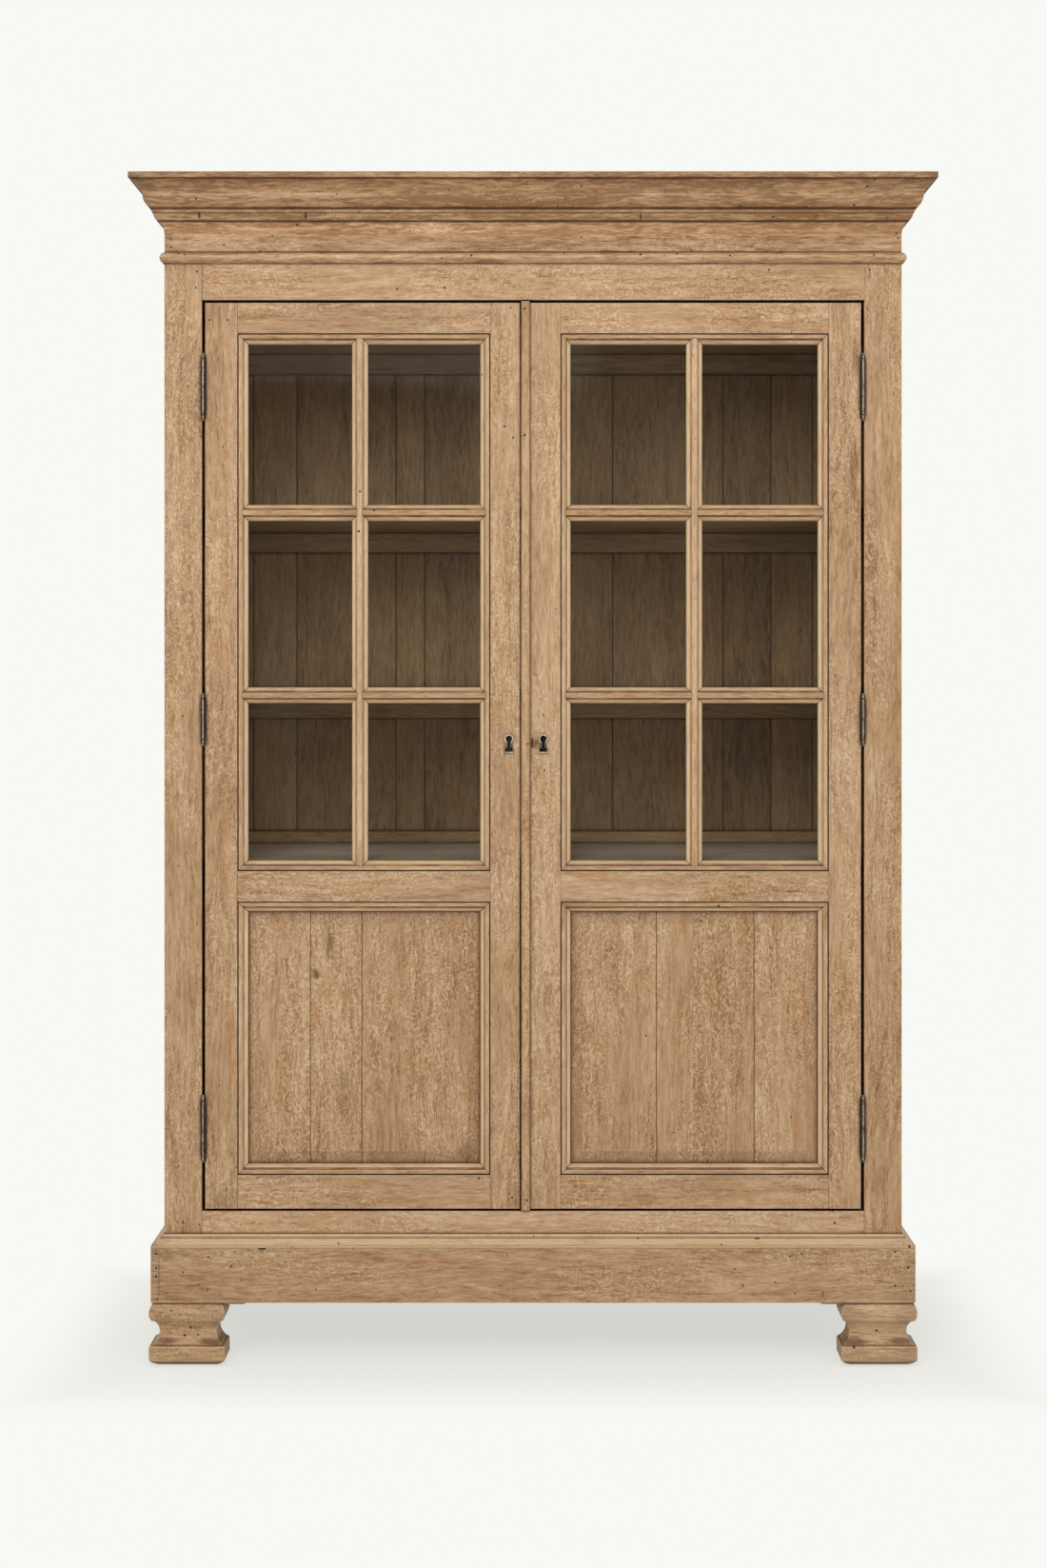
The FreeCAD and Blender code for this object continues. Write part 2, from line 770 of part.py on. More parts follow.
class Door:
    """Where the pieces of one door go. sign is -1 for the left door and 1 for the right one."""

    def __init__(self, sign, meeting_stile_width, bar_shift):
        self.hinge_edge = sign * (half_opening - hinge_gap)
        self.meeting_edge = meeting_x + sign * meeting_gap / 2
        self.hinge_inner = self.hinge_edge - sign * hinge_stile_width
        self.meeting_inner = self.meeting_edge + sign * meeting_stile_width
        self.x = span(self.hinge_inner, self.meeting_inner)
        self.bar_x = sum(self.x) / 2 + bar_shift
        self.y = (face_y, door_back_y)
        levels = ((door_low, panel_z[0]), (panel_z[1], glass_z[0]), (glass_z[1], door_high))
        self.rail_spans = [(self.x, self.y, z) for z in levels]
        self.bar_levels = [top - board_thickness / 2 for top in (middle_shelf_top, upper_shelf_top)]

    def groove(self):
        return panel_groove(self.x, panel_z, glass_y)

    def stile(self, edge, inner):
        """A stile with mortises for the rails and bars and a groove for the panel."""
        cutters = [mortises(spans, 0) for spans in self.rail_spans]
        cutters += [self.groove()]
        cutters += [self.rib(z, tenon_fit) for z in self.bar_levels]
        return box(span(edge, inner), self.y, (door_low, door_high)).cut(cutters)

    def rails(self):
        """Bottom, middle and top rails. The upright bar is let into the last two."""
        cutters = [self.groove(), self.upright_rib(tenon_fit)]
        return [tenoned(spans, 0).cut(cutters) for spans in self.rail_spans]

    def panel(self):
        """The fielded panel, its thin edges behind the moulding."""
        return fielded_panel(self.x, panel_z, glass_y, moulding_width)

    def mouldings(self):
        """The moulding round the glass, notched for the ends of the bars, and the one round the panel."""
        upright_room, arm_rooms = self.bar_rooms()
        notched = [length.cut([upright_room] + arm_rooms) for length in mitred_frame(self.x, glass_z)]
        return notched + mitred_frame(self.x, panel_z)

    def rib_y(self, slack):
        return grow((glass_y, door_back_y - bar_rib_sink), slack)

    def rib(self, z, slack):
        """The rib behind a level bar, tenoned into both stiles."""
        x = grow(self.x, bar_tenon + slack)
        return box(x, self.rib_y(slack), grow(around(z, bar_rib_width), slack))

    def upright_rib(self, slack):
        """The rib behind the upright bar, tenoned into the rails above and below."""
        x = grow(around(self.bar_x, bar_rib_width), slack)
        return box(x, self.rib_y(slack), grow(glass_z, bar_tenon + slack))

    def bar_rooms(self):
        """The room of the upright bar, and of each arm of the level bars, in front of the glass."""
        x = grow(self.x, -quirk_width - fillet_width)
        z = grow(glass_z, -quirk_width - fillet_width)
        upright = pointed_room(lambda a, b: Vector(self.bar_x + b, face_y, a), z)
        arms = []
        for middle, ends in itertools.product(self.bar_levels, gaps(x, [self.bar_x], half_fillet, 0.0)):
            arms.append(pointed_room(lambda a, b: Vector(a, face_y, middle + b), ends))
        return upright, arms

    def bars(self):
        """One upright bar, and the arms of the level bars mitred into it."""
        upright_room, arm_rooms = self.bar_rooms()
        rib = self.upright_rib(0.0)
        tall = Vector(0, 0, glass_z[1] - glass_z[0])
        wide = Vector(self.x[1] - self.x[0], 0, 0)
        upright = bar_face(lambda a, b: Vector(self.bar_x + a, b, glass_z[0])).extrude(tall)
        upright = upright.common(upright_room).cut(arm_rooms).fuse(rib).removeSplitter()
        pieces = [upright]
        for middle in self.bar_levels:
            level = bar_face(lambda a, b: Vector(self.x[0], b, middle + a)).extrude(wide)
            level = level.common(arm_rooms).fuse(self.rib(middle, 0.0).cut(rib)).removeSplitter()
            pieces += level.Solids
        return pieces

    def pane_spans(self):
        """Each pane as spans of the room between frame and ribs, and of what is seen of it."""
        half_rib = bar_rib_width / 2
        rooms_x = gaps(self.x, [self.bar_x], half_rib, 0.0)
        sights_x = gaps(self.x, [self.bar_x], half_bar, moulding_width)
        rooms_z = gaps(glass_z, self.bar_levels, half_rib, 0.0)
        sights_z = gaps(glass_z, self.bar_levels, half_bar, moulding_width)
        return itertools.product(zip(rooms_x, sights_x), zip(rooms_z, sights_z))

    def panes(self):
        """Panes of glass, set from behind against the moulding and the bars."""
        y = (glass_y, putty_y)
        return [box(grow(x[0], -glass_gap), y, grow(z[0], -glass_gap)) for x, z in self.pane_spans()]

    def putty(self):
        """A sloping fillet of putty round the back of every pane."""
        fillets = []
        for x, z in self.pane_spans():
            ring = box(x[0], (putty_y, putty_back_y), z[0])
            sight = rectangle(x[1], z[1], putty_y)
            mouth = rectangle(grow(x[0], -putty_land), grow(z[0], -putty_land), putty_back_y)
            fillets.append(ring.cut(flat_sided([sight, mouth])))
        return fillets


def gaps(whole, bars, half_bar, margin):
    """The spans left between bars across a whole span, clear of a margin at each end."""
    ends = [whole[0] + margin]
    for bar in bars:
        ends += [bar - half_bar, bar + half_bar]
    ends.append(whole[1] - margin)
    return list(zip(ends[0::2], ends[1::2]))


def depth(behind):
    """A plane behind the face of the doors."""
    return face_y + behind


def moulding_face(place):
    """The glazing moulding: quirk, fillet, slope and a rounded nosing towards the glass."""
    slope_start = quirk_width + fillet_width
    nosing_start = slope_start + slope_width
    outline = Outline(lambda a, b: place(a, depth(b)), 0.0, moulding_depth)
    outline.line(0.0, quirk_depth)
    outline.line(quirk_width, quirk_depth)
    outline.line(quirk_width, moulding_sink)
    outline.line(slope_start, moulding_sink)
    outline.line(nosing_start, slope_depth)
    outline.bend((moulding_width, slope_depth), (moulding_width, nosing_edge), slight_bow)
    outline.line(moulding_width, moulding_depth)
    return outline.face()


def bar_face(place):
    """A glazing bar's front: a fillet with the moulding's slope and nosing on both sides."""
    nosing = half_fillet + slope_width
    outline = Outline(lambda a, b: place(a, depth(b)), -half_bar, moulding_depth)
    outline.line(-half_bar, nosing_edge)
    outline.bend((-half_bar, slope_depth), (-nosing, slope_depth), slight_bow)
    outline.line(-half_fillet, moulding_sink)
    outline.line(half_fillet, moulding_sink)
    outline.line(nosing, slope_depth)
    outline.bend((half_bar, slope_depth), (half_bar, nosing_edge), slight_bow)
    outline.line(half_bar, moulding_depth)
    return outline.face()


def pointed_room(place, ends):
    """The room of a bar between two fillets, each end mitred down to the width of the bar's own fillet."""
    mitre = half_bar - half_fillet
    room = Outline(place, ends[0], -half_fillet)
    room.line(ends[0] + mitre, -half_bar)
    room.line(ends[1] - mitre, -half_bar)
    room.line(ends[1], -half_fillet)
    room.line(ends[1], half_fillet)
    room.line(ends[1] - mitre, half_bar)
    room.line(ends[0] + mitre, half_bar)
    room.line(ends[0], half_fillet)
    return room.face().extrude(Vector(0, moulding_depth, 0))


def mitred_frame(x, z):
    """Four lengths of the glazing moulding inside an opening, mitred at the corners."""
    wide = Vector(x[1] - x[0], 0, 0)
    tall = Vector(0, 0, z[1] - z[0])
    low, high = (x[0] + moulding_width, x[1] - moulding_width)
    under, over = (z[0] + moulding_width, z[1] - moulding_width)
    corner = [(x[0], z[0]), (x[1], z[0]), (x[1], z[1]), (x[0], z[1])]
    inner = [(low, under), (high, under), (high, over), (low, over)]
    lengths = [
        moulding_face(lambda a, b: Vector(x[0], b, z[0] + a)).extrude(wide),
        moulding_face(lambda a, b: Vector(x[1] - a, b, z[0])).extrude(tall),
        moulding_face(lambda a, b: Vector(x[0], b, z[1] - a)).extrude(wide),
        moulding_face(lambda a, b: Vector(x[0] + a, b, z[0])).extrude(tall),
    ]
    pieces = []
    for i, length in enumerate(lengths):
        j = (i + 1) % 4
        mitre = Outline(lambda a, b: Vector(a, face_y, b), *corner[i])
        mitre.line(*corner[j]).line(*inner[j]).line(*inner[i])
        pieces.append(length.common(mitre.face().extrude(Vector(0, moulding_depth, 0))))
    return pieces


left = Door(-1, left_meeting_stile_width, left_bar_shift)
right = Door(1, right_meeting_stile_width, right_bar_shift)


def closing_bead():
    """The bead on the meeting edge of the right door, with rounded ends."""
    x = (right.meeting_edge, right.meeting_edge + closing_bead_width)
    z = (door_low - closing_bead_overhang, door_high + closing_bead_overhang)
    front = face_y - closing_bead_out
    edge = face_y - closing_bead_edge
    plan = Outline(lambda a, b: Vector(a, b, z[0]), x[0], face_y)
    plan.line(x[0], edge)
    plan.arc((sum(x) / 2, front), (x[1], edge))
    plan.line(x[1], face_y)
    bead = plan.face().extrude(Vector(0, 0, z[1] - z[0]))
    radius = closing_bead_end_radius
    side = Outline(lambda a, b: Vector(x[0], a, b), face_y, z[0])
    side.line(front + radius, z[0])
    side.bend((front, z[0]), (front, z[0] + radius), quarter_bow)
    side.line(front, z[1] - radius)
    side.bend((front, z[1]), (front + radius, z[1]), quarter_bow)
    side.line(face_y, z[1])
    return bead.common(side.face().extrude(Vector(closing_bead_width, 0, 0)))


# Flush bolts of the left door, let into the back of its meeting stile

flush_bolt_x = around(left.meeting_edge - flush_bolt_inset, flush_bolt_width)
flush_plate_x = around(left.meeting_edge - flush_bolt_inset, flush_plate_width)
flush_plate_y = (door_back_y - flush_plate_thickness, door_back_y)
flush_bolt_y = (flush_plate_y[0] - flush_bolt_fit - flush_bolt_thickness, flush_plate_y[0] - flush_bolt_fit)


def flush_bolt(end, inward):
    """A bolt that slides past a door end. inward is the way from that end into the door."""
    tip = end + inward * flush_bolt_end_sink
    tail = tip + inward * flush_bolt_length
    bar = box(flush_bolt_x, flush_bolt_y, span(tip, tail))
    z = tip + inward * thumb_from_end
    out = door_back_y + thumb_out
    x = sum(flush_bolt_x) / 2
    root_y = sum(flush_bolt_y) / 2
    profile = [
        (thumb_stem_radius, root_y),
        (thumb_stem_radius, out - thumb_knob_height),
        (thumb_knob_radius, out - thumb_knob_ease),
        (thumb_knob_radius - thumb_knob_ease, out),
    ]
    thumb = turned(lambda a, b, level: Vector(x + a, level, z + b), profile)
    return bar.fuse(thumb).removeSplitter()


def flush_plate(end, inward):
    """The plate over a flush bolt, with a slot for the thumb piece."""
    tail = end + inward * (flush_bolt_length + 2 * flush_bolt_end_sink + flush_bolt_travel)
    plate = box(flush_plate_x, flush_plate_y, span(end, tail))
    z = end + inward * (flush_bolt_end_sink + thumb_from_end)
    half_slot = thumb_stem_radius + flush_bolt_fit
    x = around(sum(flush_plate_x) / 2, 2 * half_slot)
    slot = box(x, flush_plate_y, span(z + inward * half_slot, z - inward * (half_slot + flush_bolt_travel)))
    return plate.cut(slot)


def flush_bolt_room(end, inward):
    """The channel and the plate's seat, cut in the stile."""
    tail = end + inward * (flush_bolt_length + 2 * flush_bolt_end_sink + flush_bolt_travel)
    z = span(end, tail)
    channel_y = (flush_bolt_y[0] - flush_bolt_fit, flush_plate_y[0])
    channel = box(grow(flush_bolt_x, flush_bolt_fit), channel_y, z)
    return channel.fuse(box(flush_plate_x, flush_plate_y, z))


bolt_ends = ((door_high, -1), (door_low, 1))

# Lock of the right door, let into the edge of its meeting stile

key_x = right.meeting_edge + lock_backset
left_key_x = left.meeting_edge - left_escutcheon_inset
lock_middle_y = (face_y + door_back_y) / 2
lock_case_y = around(lock_middle_y, lock_case_thickness)
lock_case_x = (right.meeting_edge + lock_plate_thickness, key_x + lock_case_past_key)
lock_case_z = around(lock_z, lock_case_height)
lock_plate_x = (right.meeting_edge, lock_case_x[0])
lock_plate_y = around(lock_middle_y, lock_plate_width)
lock_plate_z = around(lock_z, lock_plate_height)
lock_bolt_y = around(lock_middle_y, lock_bolt_thickness)
lock_bolt_z = (lock_z + lock_bolt_rise, lock_z + lock_bolt_rise + lock_bolt_height)
lock_bolt_x = (right.meeting_edge, right.meeting_edge + lock_bolt_length)


def lock_case():
    """Case and edge plate in one, with the bolt's way and the keyhole through it."""
    case = box(lock_case_x, lock_case_y, lock_case_z)
    case = case.fuse(box(lock_plate_x, lock_plate_y, lock_plate_z)).removeSplitter()
    way_x = (lock_bolt_x[0], lock_bolt_x[1] + lock_fit)
    way = box(way_x, grow(lock_bolt_y, lock_fit), grow(lock_bolt_z, lock_fit))
    return case.cut([way, key_mortise(key_x, lock_case_y)])


def lock_room():
    """The pocket for the lock in the stile, and the keyhole in front of it."""
    case_x = (right.meeting_edge, lock_case_x[1] + lock_fit)
    case = box(case_x, grow(lock_case_y, lock_fit), grow(lock_case_z, lock_fit))
    plate = box(lock_plate_x, lock_plate_y, lock_plate_z)
    return [case, plate, key_mortise(key_x, (face_y, lock_middle_y))]


def lock_bolt():
    return box(lock_bolt_x, lock_bolt_y, lock_bolt_z)


def strike_room():
    """The mortise in the left meeting stile that takes the lock's bolt."""
    deep = left.meeting_edge - lock_bolt_travel
    return box((deep, left.meeting_edge), grow(lock_bolt_y, lock_fit), grow(lock_bolt_z, lock_fit))


def left_meeting_stile():
    rooms = [flush_bolt_room(end, inward) for end, inward in bolt_ends]
    rooms += [strike_room(), key_mortise(left_key_x, (face_y, face_y + dummy_keyhole_depth))]
    return left.stile(left.meeting_edge, left.meeting_inner).cut(rooms)


def right_meeting_stile():
    return right.stile(right.meeting_edge, right.meeting_inner).cut(lock_room())


def save(node, *pieces):
    """Write one node, each of its pieces a solid of its own."""
    solids = [solid for piece in pieces for solid in piece.Solids]
    Part.makeCompound(solids).exportStep("parts/" + node + ".step")


def save_pair(stem, left_piece):
    """Write a left node and its mirror image."""
    pieces = left_piece if isinstance(left_piece, list) else [left_piece]
    save(stem + "_left", *pieces)
    save(stem + "_right", *[mirrored(piece) for piece in pieces])


def save_base():
    save_pair("foot_front", left_foot(front_foot_y, True))
    save_pair("foot_rear", left_foot(rear_foot_y, False))
    save("foot_glue_blocks", *glue_blocks())
    save("plinth_front", plinth_front())
    save("plinth_sides", *plinth_sides())
    save("plinth_back", plinth_back())
    save("plinth_moulding", *surround(splay_profile, plinth_out))


def save_carcass():
    save_pair("front_post", left_front_post())
    save_pair("rear_post", left_rear_post())
    save("face_top_rail", face_top_rail())
    save("face_bottom_rail", face_bottom_rail())
    save_pair("side_rails", left_side_rails())
    save_pair("side_panels", [left_side_panel(z) for z in side_panel_levels])
    save("rear_rails", *rear_rails())
    save("back_boards", *back_boards())
    save("bottom_board", level_board(floor_top, back_inner_y))
    save("shelf_lower", level_board(lower_shelf_top, batten_y[0]))
    save("shelf_middle", level_board(middle_shelf_top, back_inner_y))
    save("shelf_upper", level_board(upper_shelf_top, back_inner_y))
    save("ceiling_board", level_board(ceiling_top, back_inner_y))
    save("shelf_bearers", *bearers())


def save_top():
    save("frieze_boards", *frieze_boards())
    save("frieze_bead", *surround(bead_profile, bead_out))
    cornice = surround(cornice_profile, cornice_out)
    save("cornice_front", cornice[0])
    save("cornice_sides", *cornice[1:])
    save("dust_board", dust_board())


def save_door(name, door):
    """The pieces that both doors have."""
    save(name + "_hinge_stile", door.stile(door.hinge_edge, door.hinge_inner))
    save(name + "_door_rails", *door.rails())
    save(name + "_glazing_bars", *door.bars())
    save(name + "_door_mouldings", *door.mouldings())
    save(name + "_glass_panes", *door.panes())
    save(name + "_glass_putty", *door.putty())
    save(name + "_door_panel", door.panel())


def save_hardware():
    save("hinge_post_leaves", *both_sides(left_post_leaves()))
    save("hinge_pins", *both_sides(left_pins()))
    save("left_hinge_leaves", *left_door_leaves())
    save("right_hinge_leaves", *[mirrored(piece) for piece in left_door_leaves()])
    save("left_escutcheon", escutcheon(left_key_x))
    save("right_escutcheon", escutcheon(key_x))
    save("flush_bolt_plates", *[flush_plate(end, inward) for end, inward in bolt_ends])
    save("upper_flush_bolt", flush_bolt(*bolt_ends[0]))
    save("lower_flush_bolt", flush_bolt(*bolt_ends[1]))
    save("lock_case", lock_case())
    save("lock_bolt", lock_bolt())


os.makedirs("parts", exist_ok=True)
save_base()
save_carcass()
save_top()
save_door("left", left)
save_door("right", right)
save("left_meeting_stile", left_meeting_stile())
save("right_meeting_stile", right_meeting_stile())
save("closing_bead", closing_bead())
save_hardware()
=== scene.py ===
# %% [markdown]
# # A tall glazed bookcase in bleached oak
#
# This lesson dresses a measured model of an old oak bookcase. The measured model says where every
# board, hinge and bolt is, and nothing here moves one or changes its size by more than a hair. Each
# node is a piece such as a post or a shelf, and each body is a set of pieces that moves together,
# such as a door.

# %% Load the measured frame
import json
import math
import random

import bmesh
import bpy
import numpy as np
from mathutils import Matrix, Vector


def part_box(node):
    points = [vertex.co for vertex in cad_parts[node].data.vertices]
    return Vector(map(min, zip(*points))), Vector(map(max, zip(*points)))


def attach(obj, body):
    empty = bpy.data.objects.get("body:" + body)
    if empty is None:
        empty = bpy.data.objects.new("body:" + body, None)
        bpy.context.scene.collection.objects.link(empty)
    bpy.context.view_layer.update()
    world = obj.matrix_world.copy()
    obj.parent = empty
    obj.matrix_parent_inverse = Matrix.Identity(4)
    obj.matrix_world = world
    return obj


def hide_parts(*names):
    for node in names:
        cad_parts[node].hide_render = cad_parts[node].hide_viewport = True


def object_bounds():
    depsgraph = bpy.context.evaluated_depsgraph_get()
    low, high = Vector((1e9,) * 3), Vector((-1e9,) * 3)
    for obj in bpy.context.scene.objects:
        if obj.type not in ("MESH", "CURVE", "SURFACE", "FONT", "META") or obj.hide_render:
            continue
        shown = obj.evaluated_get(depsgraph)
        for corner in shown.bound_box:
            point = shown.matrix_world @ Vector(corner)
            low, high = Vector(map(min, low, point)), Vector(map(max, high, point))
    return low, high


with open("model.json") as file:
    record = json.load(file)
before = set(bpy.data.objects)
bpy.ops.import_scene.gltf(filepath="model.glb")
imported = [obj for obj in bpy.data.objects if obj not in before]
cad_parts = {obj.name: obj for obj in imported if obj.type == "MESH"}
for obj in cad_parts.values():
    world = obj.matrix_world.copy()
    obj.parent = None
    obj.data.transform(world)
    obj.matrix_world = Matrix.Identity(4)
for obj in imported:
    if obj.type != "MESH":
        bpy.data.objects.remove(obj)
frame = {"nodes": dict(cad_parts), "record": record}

MM = 0.001
nodes = frame["nodes"]
record = frame["record"]
cad_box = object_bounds()
body_of = {node: body for body, members in record["behaviour"]["bodies"].items() for node in members}
slot_of = {part["node"]: part["material_slot"] for part in record["subparts"]}

# %% [markdown]
# ## Working on one object at a time
#
# Operators act on whatever is selected, and loading leaves the whole frame selected. Five small
# helpers clear the selection, step in and out of edit mode, put a piece's place into its mesh and
# join pieces, so that each later cell says plainly which piece it is working on.


# %% Selection helpers
def only(*pieces):
    """Selects these objects and nothing else, with the first one active."""
    bpy.ops.object.select_all(action="DESELECT")
    for piece in pieces:
        piece.select_set(True)
    bpy.context.view_layer.objects.active = pieces[0]


def begin_edit(piece, mode="VERT", action="DESELECT"):
    """Opens a piece in edit mode with nothing selected, or all of it."""
    only(piece)
    bpy.ops.object.mode_set(mode="EDIT")
    bpy.ops.mesh.select_mode(type=mode)
    bpy.ops.mesh.select_all(action=action)


def end_edit():
    bpy.ops.object.mode_set(mode="OBJECT")


def settle(piece):
    """Puts a piece's place, turn and size into its mesh."""
    only(piece)
    bpy.ops.object.transform_apply(location=True, rotation=True, scale=True)


def joined(pieces, name):
    """Makes one object of several."""
    only(*pieces)
    if len(pieces) > 1:
        bpy.ops.object.join()
    piece = bpy.context.view_layer.objects.active
    piece.name = name
    piece.data.name = name
    return piece


print(sum(piece.select_get() for piece in nodes.values()), "nodes come in selected")

# %% [markdown]
# ## From a node to its boards
#
# A node can hold several boards, such as the four lengths of a moulding. Its mesh is loose
# triangles, and boards that meet at a mitre share corner points, so merging the whole node would
# weld neighbours together. The triangles of one board follow each other, and a board is complete
# at the moment when every edge has been walked once each way. The triangles are cut into boards
# there, and each becomes an object of its own with its corners merged.


# %% Boards of a node
X, Y, Z = range(3)
WELD = 1e-6


def mesh_arrays(mesh):
    """The points of a mesh, and which point is at each corner of its faces."""
    points = np.empty(len(mesh.vertices) * 3)
    mesh.vertices.foreach_get("co", points)
    corners = np.empty(len(mesh.loops), dtype=np.int64)
    mesh.loops.foreach_get("vertex_index", corners)
    return points.reshape(-1, 3), corners


def boards_of(node):
    """One object for each closed solid of a node."""
    points, corners = mesh_arrays(nodes[node].data)
    places = np.round(points / WELD).astype(np.int64)
    places, merged = np.unique(places, axis=0, return_inverse=True)
    triangles = merged.reshape(-1)[corners].reshape(-1, 3).tolist()
    boards = []
    faces = []
    open_edges = set()
    for triangle in triangles:
        if len(set(triangle)) < 3:
            continue
        faces.append(triangle)
        for i in range(3):
            start, end = triangle[i - 1], triangle[i]
            if (end, start) in open_edges:
                open_edges.remove((end, start))
            else:
                open_edges.add((start, end))
        if not open_edges:
            boards.append(board_object(f"{node}_{len(boards)}", places, faces))
            faces = []
    if faces:
        raise ValueError(f"{node} has a board that never closes")
    return boards


def board_object(name, places, faces):
    """One board, with only the corners that its own faces use."""
    used = sorted({corner for face in faces for corner in face})
    order = {corner: i for i, corner in enumerate(used)}
    mesh = bpy.data.meshes.new(name)
    mesh.from_pydata(
        (places[used] * WELD).tolist(), [], [[order[corner] for corner in face] for face in faces]
    )
    board = bpy.data.objects.new(name, mesh)
    bpy.context.scene.collection.objects.link(board)
    return board


def reach_of(board, axis):
    """The lowest and the highest place of a board along an axis."""
    places = [vertex.co[axis] for vertex in board.data.vertices]
    return min(places), max(places)


print("the frame has", sum(len(piece.data.polygons) for piece in nodes.values()), "loose triangles")

# %% [markdown]
# ## Dried boards
#
# Timber shrinks as it dries, so every joint of old furniture shows as a fine dark line. The line
# could be painted, but a real gap looks right from every side. A limited dissolve first turns the
# triangles of a flat face back into one face, and then the board is drawn in along its corner
# normals, which opens each joint by a little under a millimetre. The boards of the back are
# widened until they meet instead, so that no light comes between them.


# %% Shrink the boards
FLAT = math.radians(0.5)
SHRINKAGE = 0.4 * MM


def flatten(board):
    """Turns the triangles of each flat face back into one face."""
    begin_edit(board, action="SELECT")
    bpy.ops.mesh.dissolve_limited(angle_limit=FLAT)
    end_edit()


def dry_out(board):
    """Draws a board in all round, as old timber has shrunk."""
    begin_edit(board, action="SELECT")
    bpy.ops.transform.shrink_fatten(value=-SHRINKAGE)
    end_edit()


def swell(board, growth):
    """Widens a board along X, by this much on either side, until it meets its neighbours."""
    low, high = reach_of(board, X)
    wider = 1 + 2 * growth / (high - low)
    begin_edit(board, action="SELECT")
    bpy.ops.transform.resize(value=(wider, 1, 1), center_override=((low + high) / 2, 0, 0))
    end_edit()


print("each joint opens by", round(2 * SHRINKAGE / MM, 1), "mm")

# %% [markdown]
# ## Worn arrises
#
# Old furniture has no razor edges: two centuries of dusters and sleeves have rounded every arris.
# A Bevel modifier would fill inner corners too, so the outer edges that turn by more than thirty
# degrees are picked and bevelled in edit mode. The faces that the bevel makes go to a second
# material slot for a moment, which tells them apart, and an attribute keeps that, because rubbed
# edges are also paler than the rest.


# %% Ease the edges
SHARP = math.radians(30)
BEVELLED_SLOT = 1
WORN = "worn"


def ease(board, width):
    """Bevels the outer edges of a board and marks the new faces as worn."""
    begin_edit(board, "EDGE")
    shape = bmesh.from_edit_mesh(board.data)
    for edge in shape.edges:
        if edge.is_convex and edge.calc_face_angle(0.0) > SHARP:
            edge.select_set(True)
    bmesh.update_edit_mesh(board.data)
    while len(board.data.materials) <= BEVELLED_SLOT:
        board.data.materials.append(None)
    bpy.ops.mesh.bevel(
        offset=width, segments=2, affect="EDGES", clamp_overlap=True, material=BEVELLED_SLOT
    )
    end_edit()
    worn = np.zeros(len(board.data.polygons), dtype=np.int32)
    board.data.polygons.foreach_get("material_index", worn)
    board.data.polygons.foreach_set("material_index", np.zeros_like(worn))
    board.data.materials.clear()
    mark_faces(board, WORN, worn.astype(float))


def mark_faces(board, name, values):
    """Stores one number for each face."""
    layer = board.data.attributes.new(name, "FLOAT", "FACE")
    layer.data.foreach_set("value", values)


print("edges that turn by more than", round(math.degrees(SHARP)), "degrees are eased")

# %% [markdown]
# ## Painted shade and highlights on mouldings
#
# The slopes of the door mouldings are painted browner, as painted shade, most of all where they are
# level, and the round nosing behind them is painted pale as a painted highlight. A material can't
# easily tell one from the other, so another attribute marks them face by face, from where each
# looks and how deep it lies.


# %% Mark the mouldings
PROFILE = "profile"
NOSING_DEPTH = 4.5 * MM
# A face that looks straight to the front has a normal of -1 along Y.
NOSING_FACING = -0.15
SLOPE_FACING = (-0.85, -0.35)
UPRIGHT_MARKS = (1.0, -0.9)
LEVEL_MARKS = (2.8, -0.5)


def is_level(board):
    """True for a board that is longer across the case than up it."""
    left, right = reach_of(board, X)
    low, high = reach_of(board, Z)
    return right - left > high - low


def mark_profile(board):
    """Marks the slopes of a moulding above 0, those of a level one most, and its nosing below 0."""
    front = reach_of(board, Y)[0]
    worn = board.data.attributes[WORN].data
    slope, nosing = LEVEL_MARKS if is_level(board) else UPRIGHT_MARKS
    values = []
    for face in board.data.polygons:
        value = 0.0
        if face.center.y - front > NOSING_DEPTH and face.normal.y < NOSING_FACING:
            value = nosing
        elif SLOPE_FACING[0] < face.normal.y < SLOPE_FACING[1] and worn[face.index].value == 0.0:
            value = slope
        values.append(value)
    mark_faces(board, PROFILE, values)


print("nosings lie more than", round(NOSING_DEPTH / MM, 1), "mm behind the front")

# %% [markdown]
# ## Grain that belongs to each board
#
# Wood grain runs along a board, so one pattern laid over the whole bookcase would give it away at
# once. Every board stores its own grain coordinates, along its length, across its width and through
# its thickness, and a random shift takes each board from another part of the tree. A second
# attribute holds how far a point is from the middle of its board, the board's half length, and how
# much lighter or darker than the rest it is: partly at random, because no two boards match, and
# partly by the kind of piece.


# %% Lay the grain
GRAIN = "grain"
BOARD = "board"
TREE_SIZE = 40.0
OUTSIDE_SPREAD = 0.07
INSIDE_SPREAD = 0.2


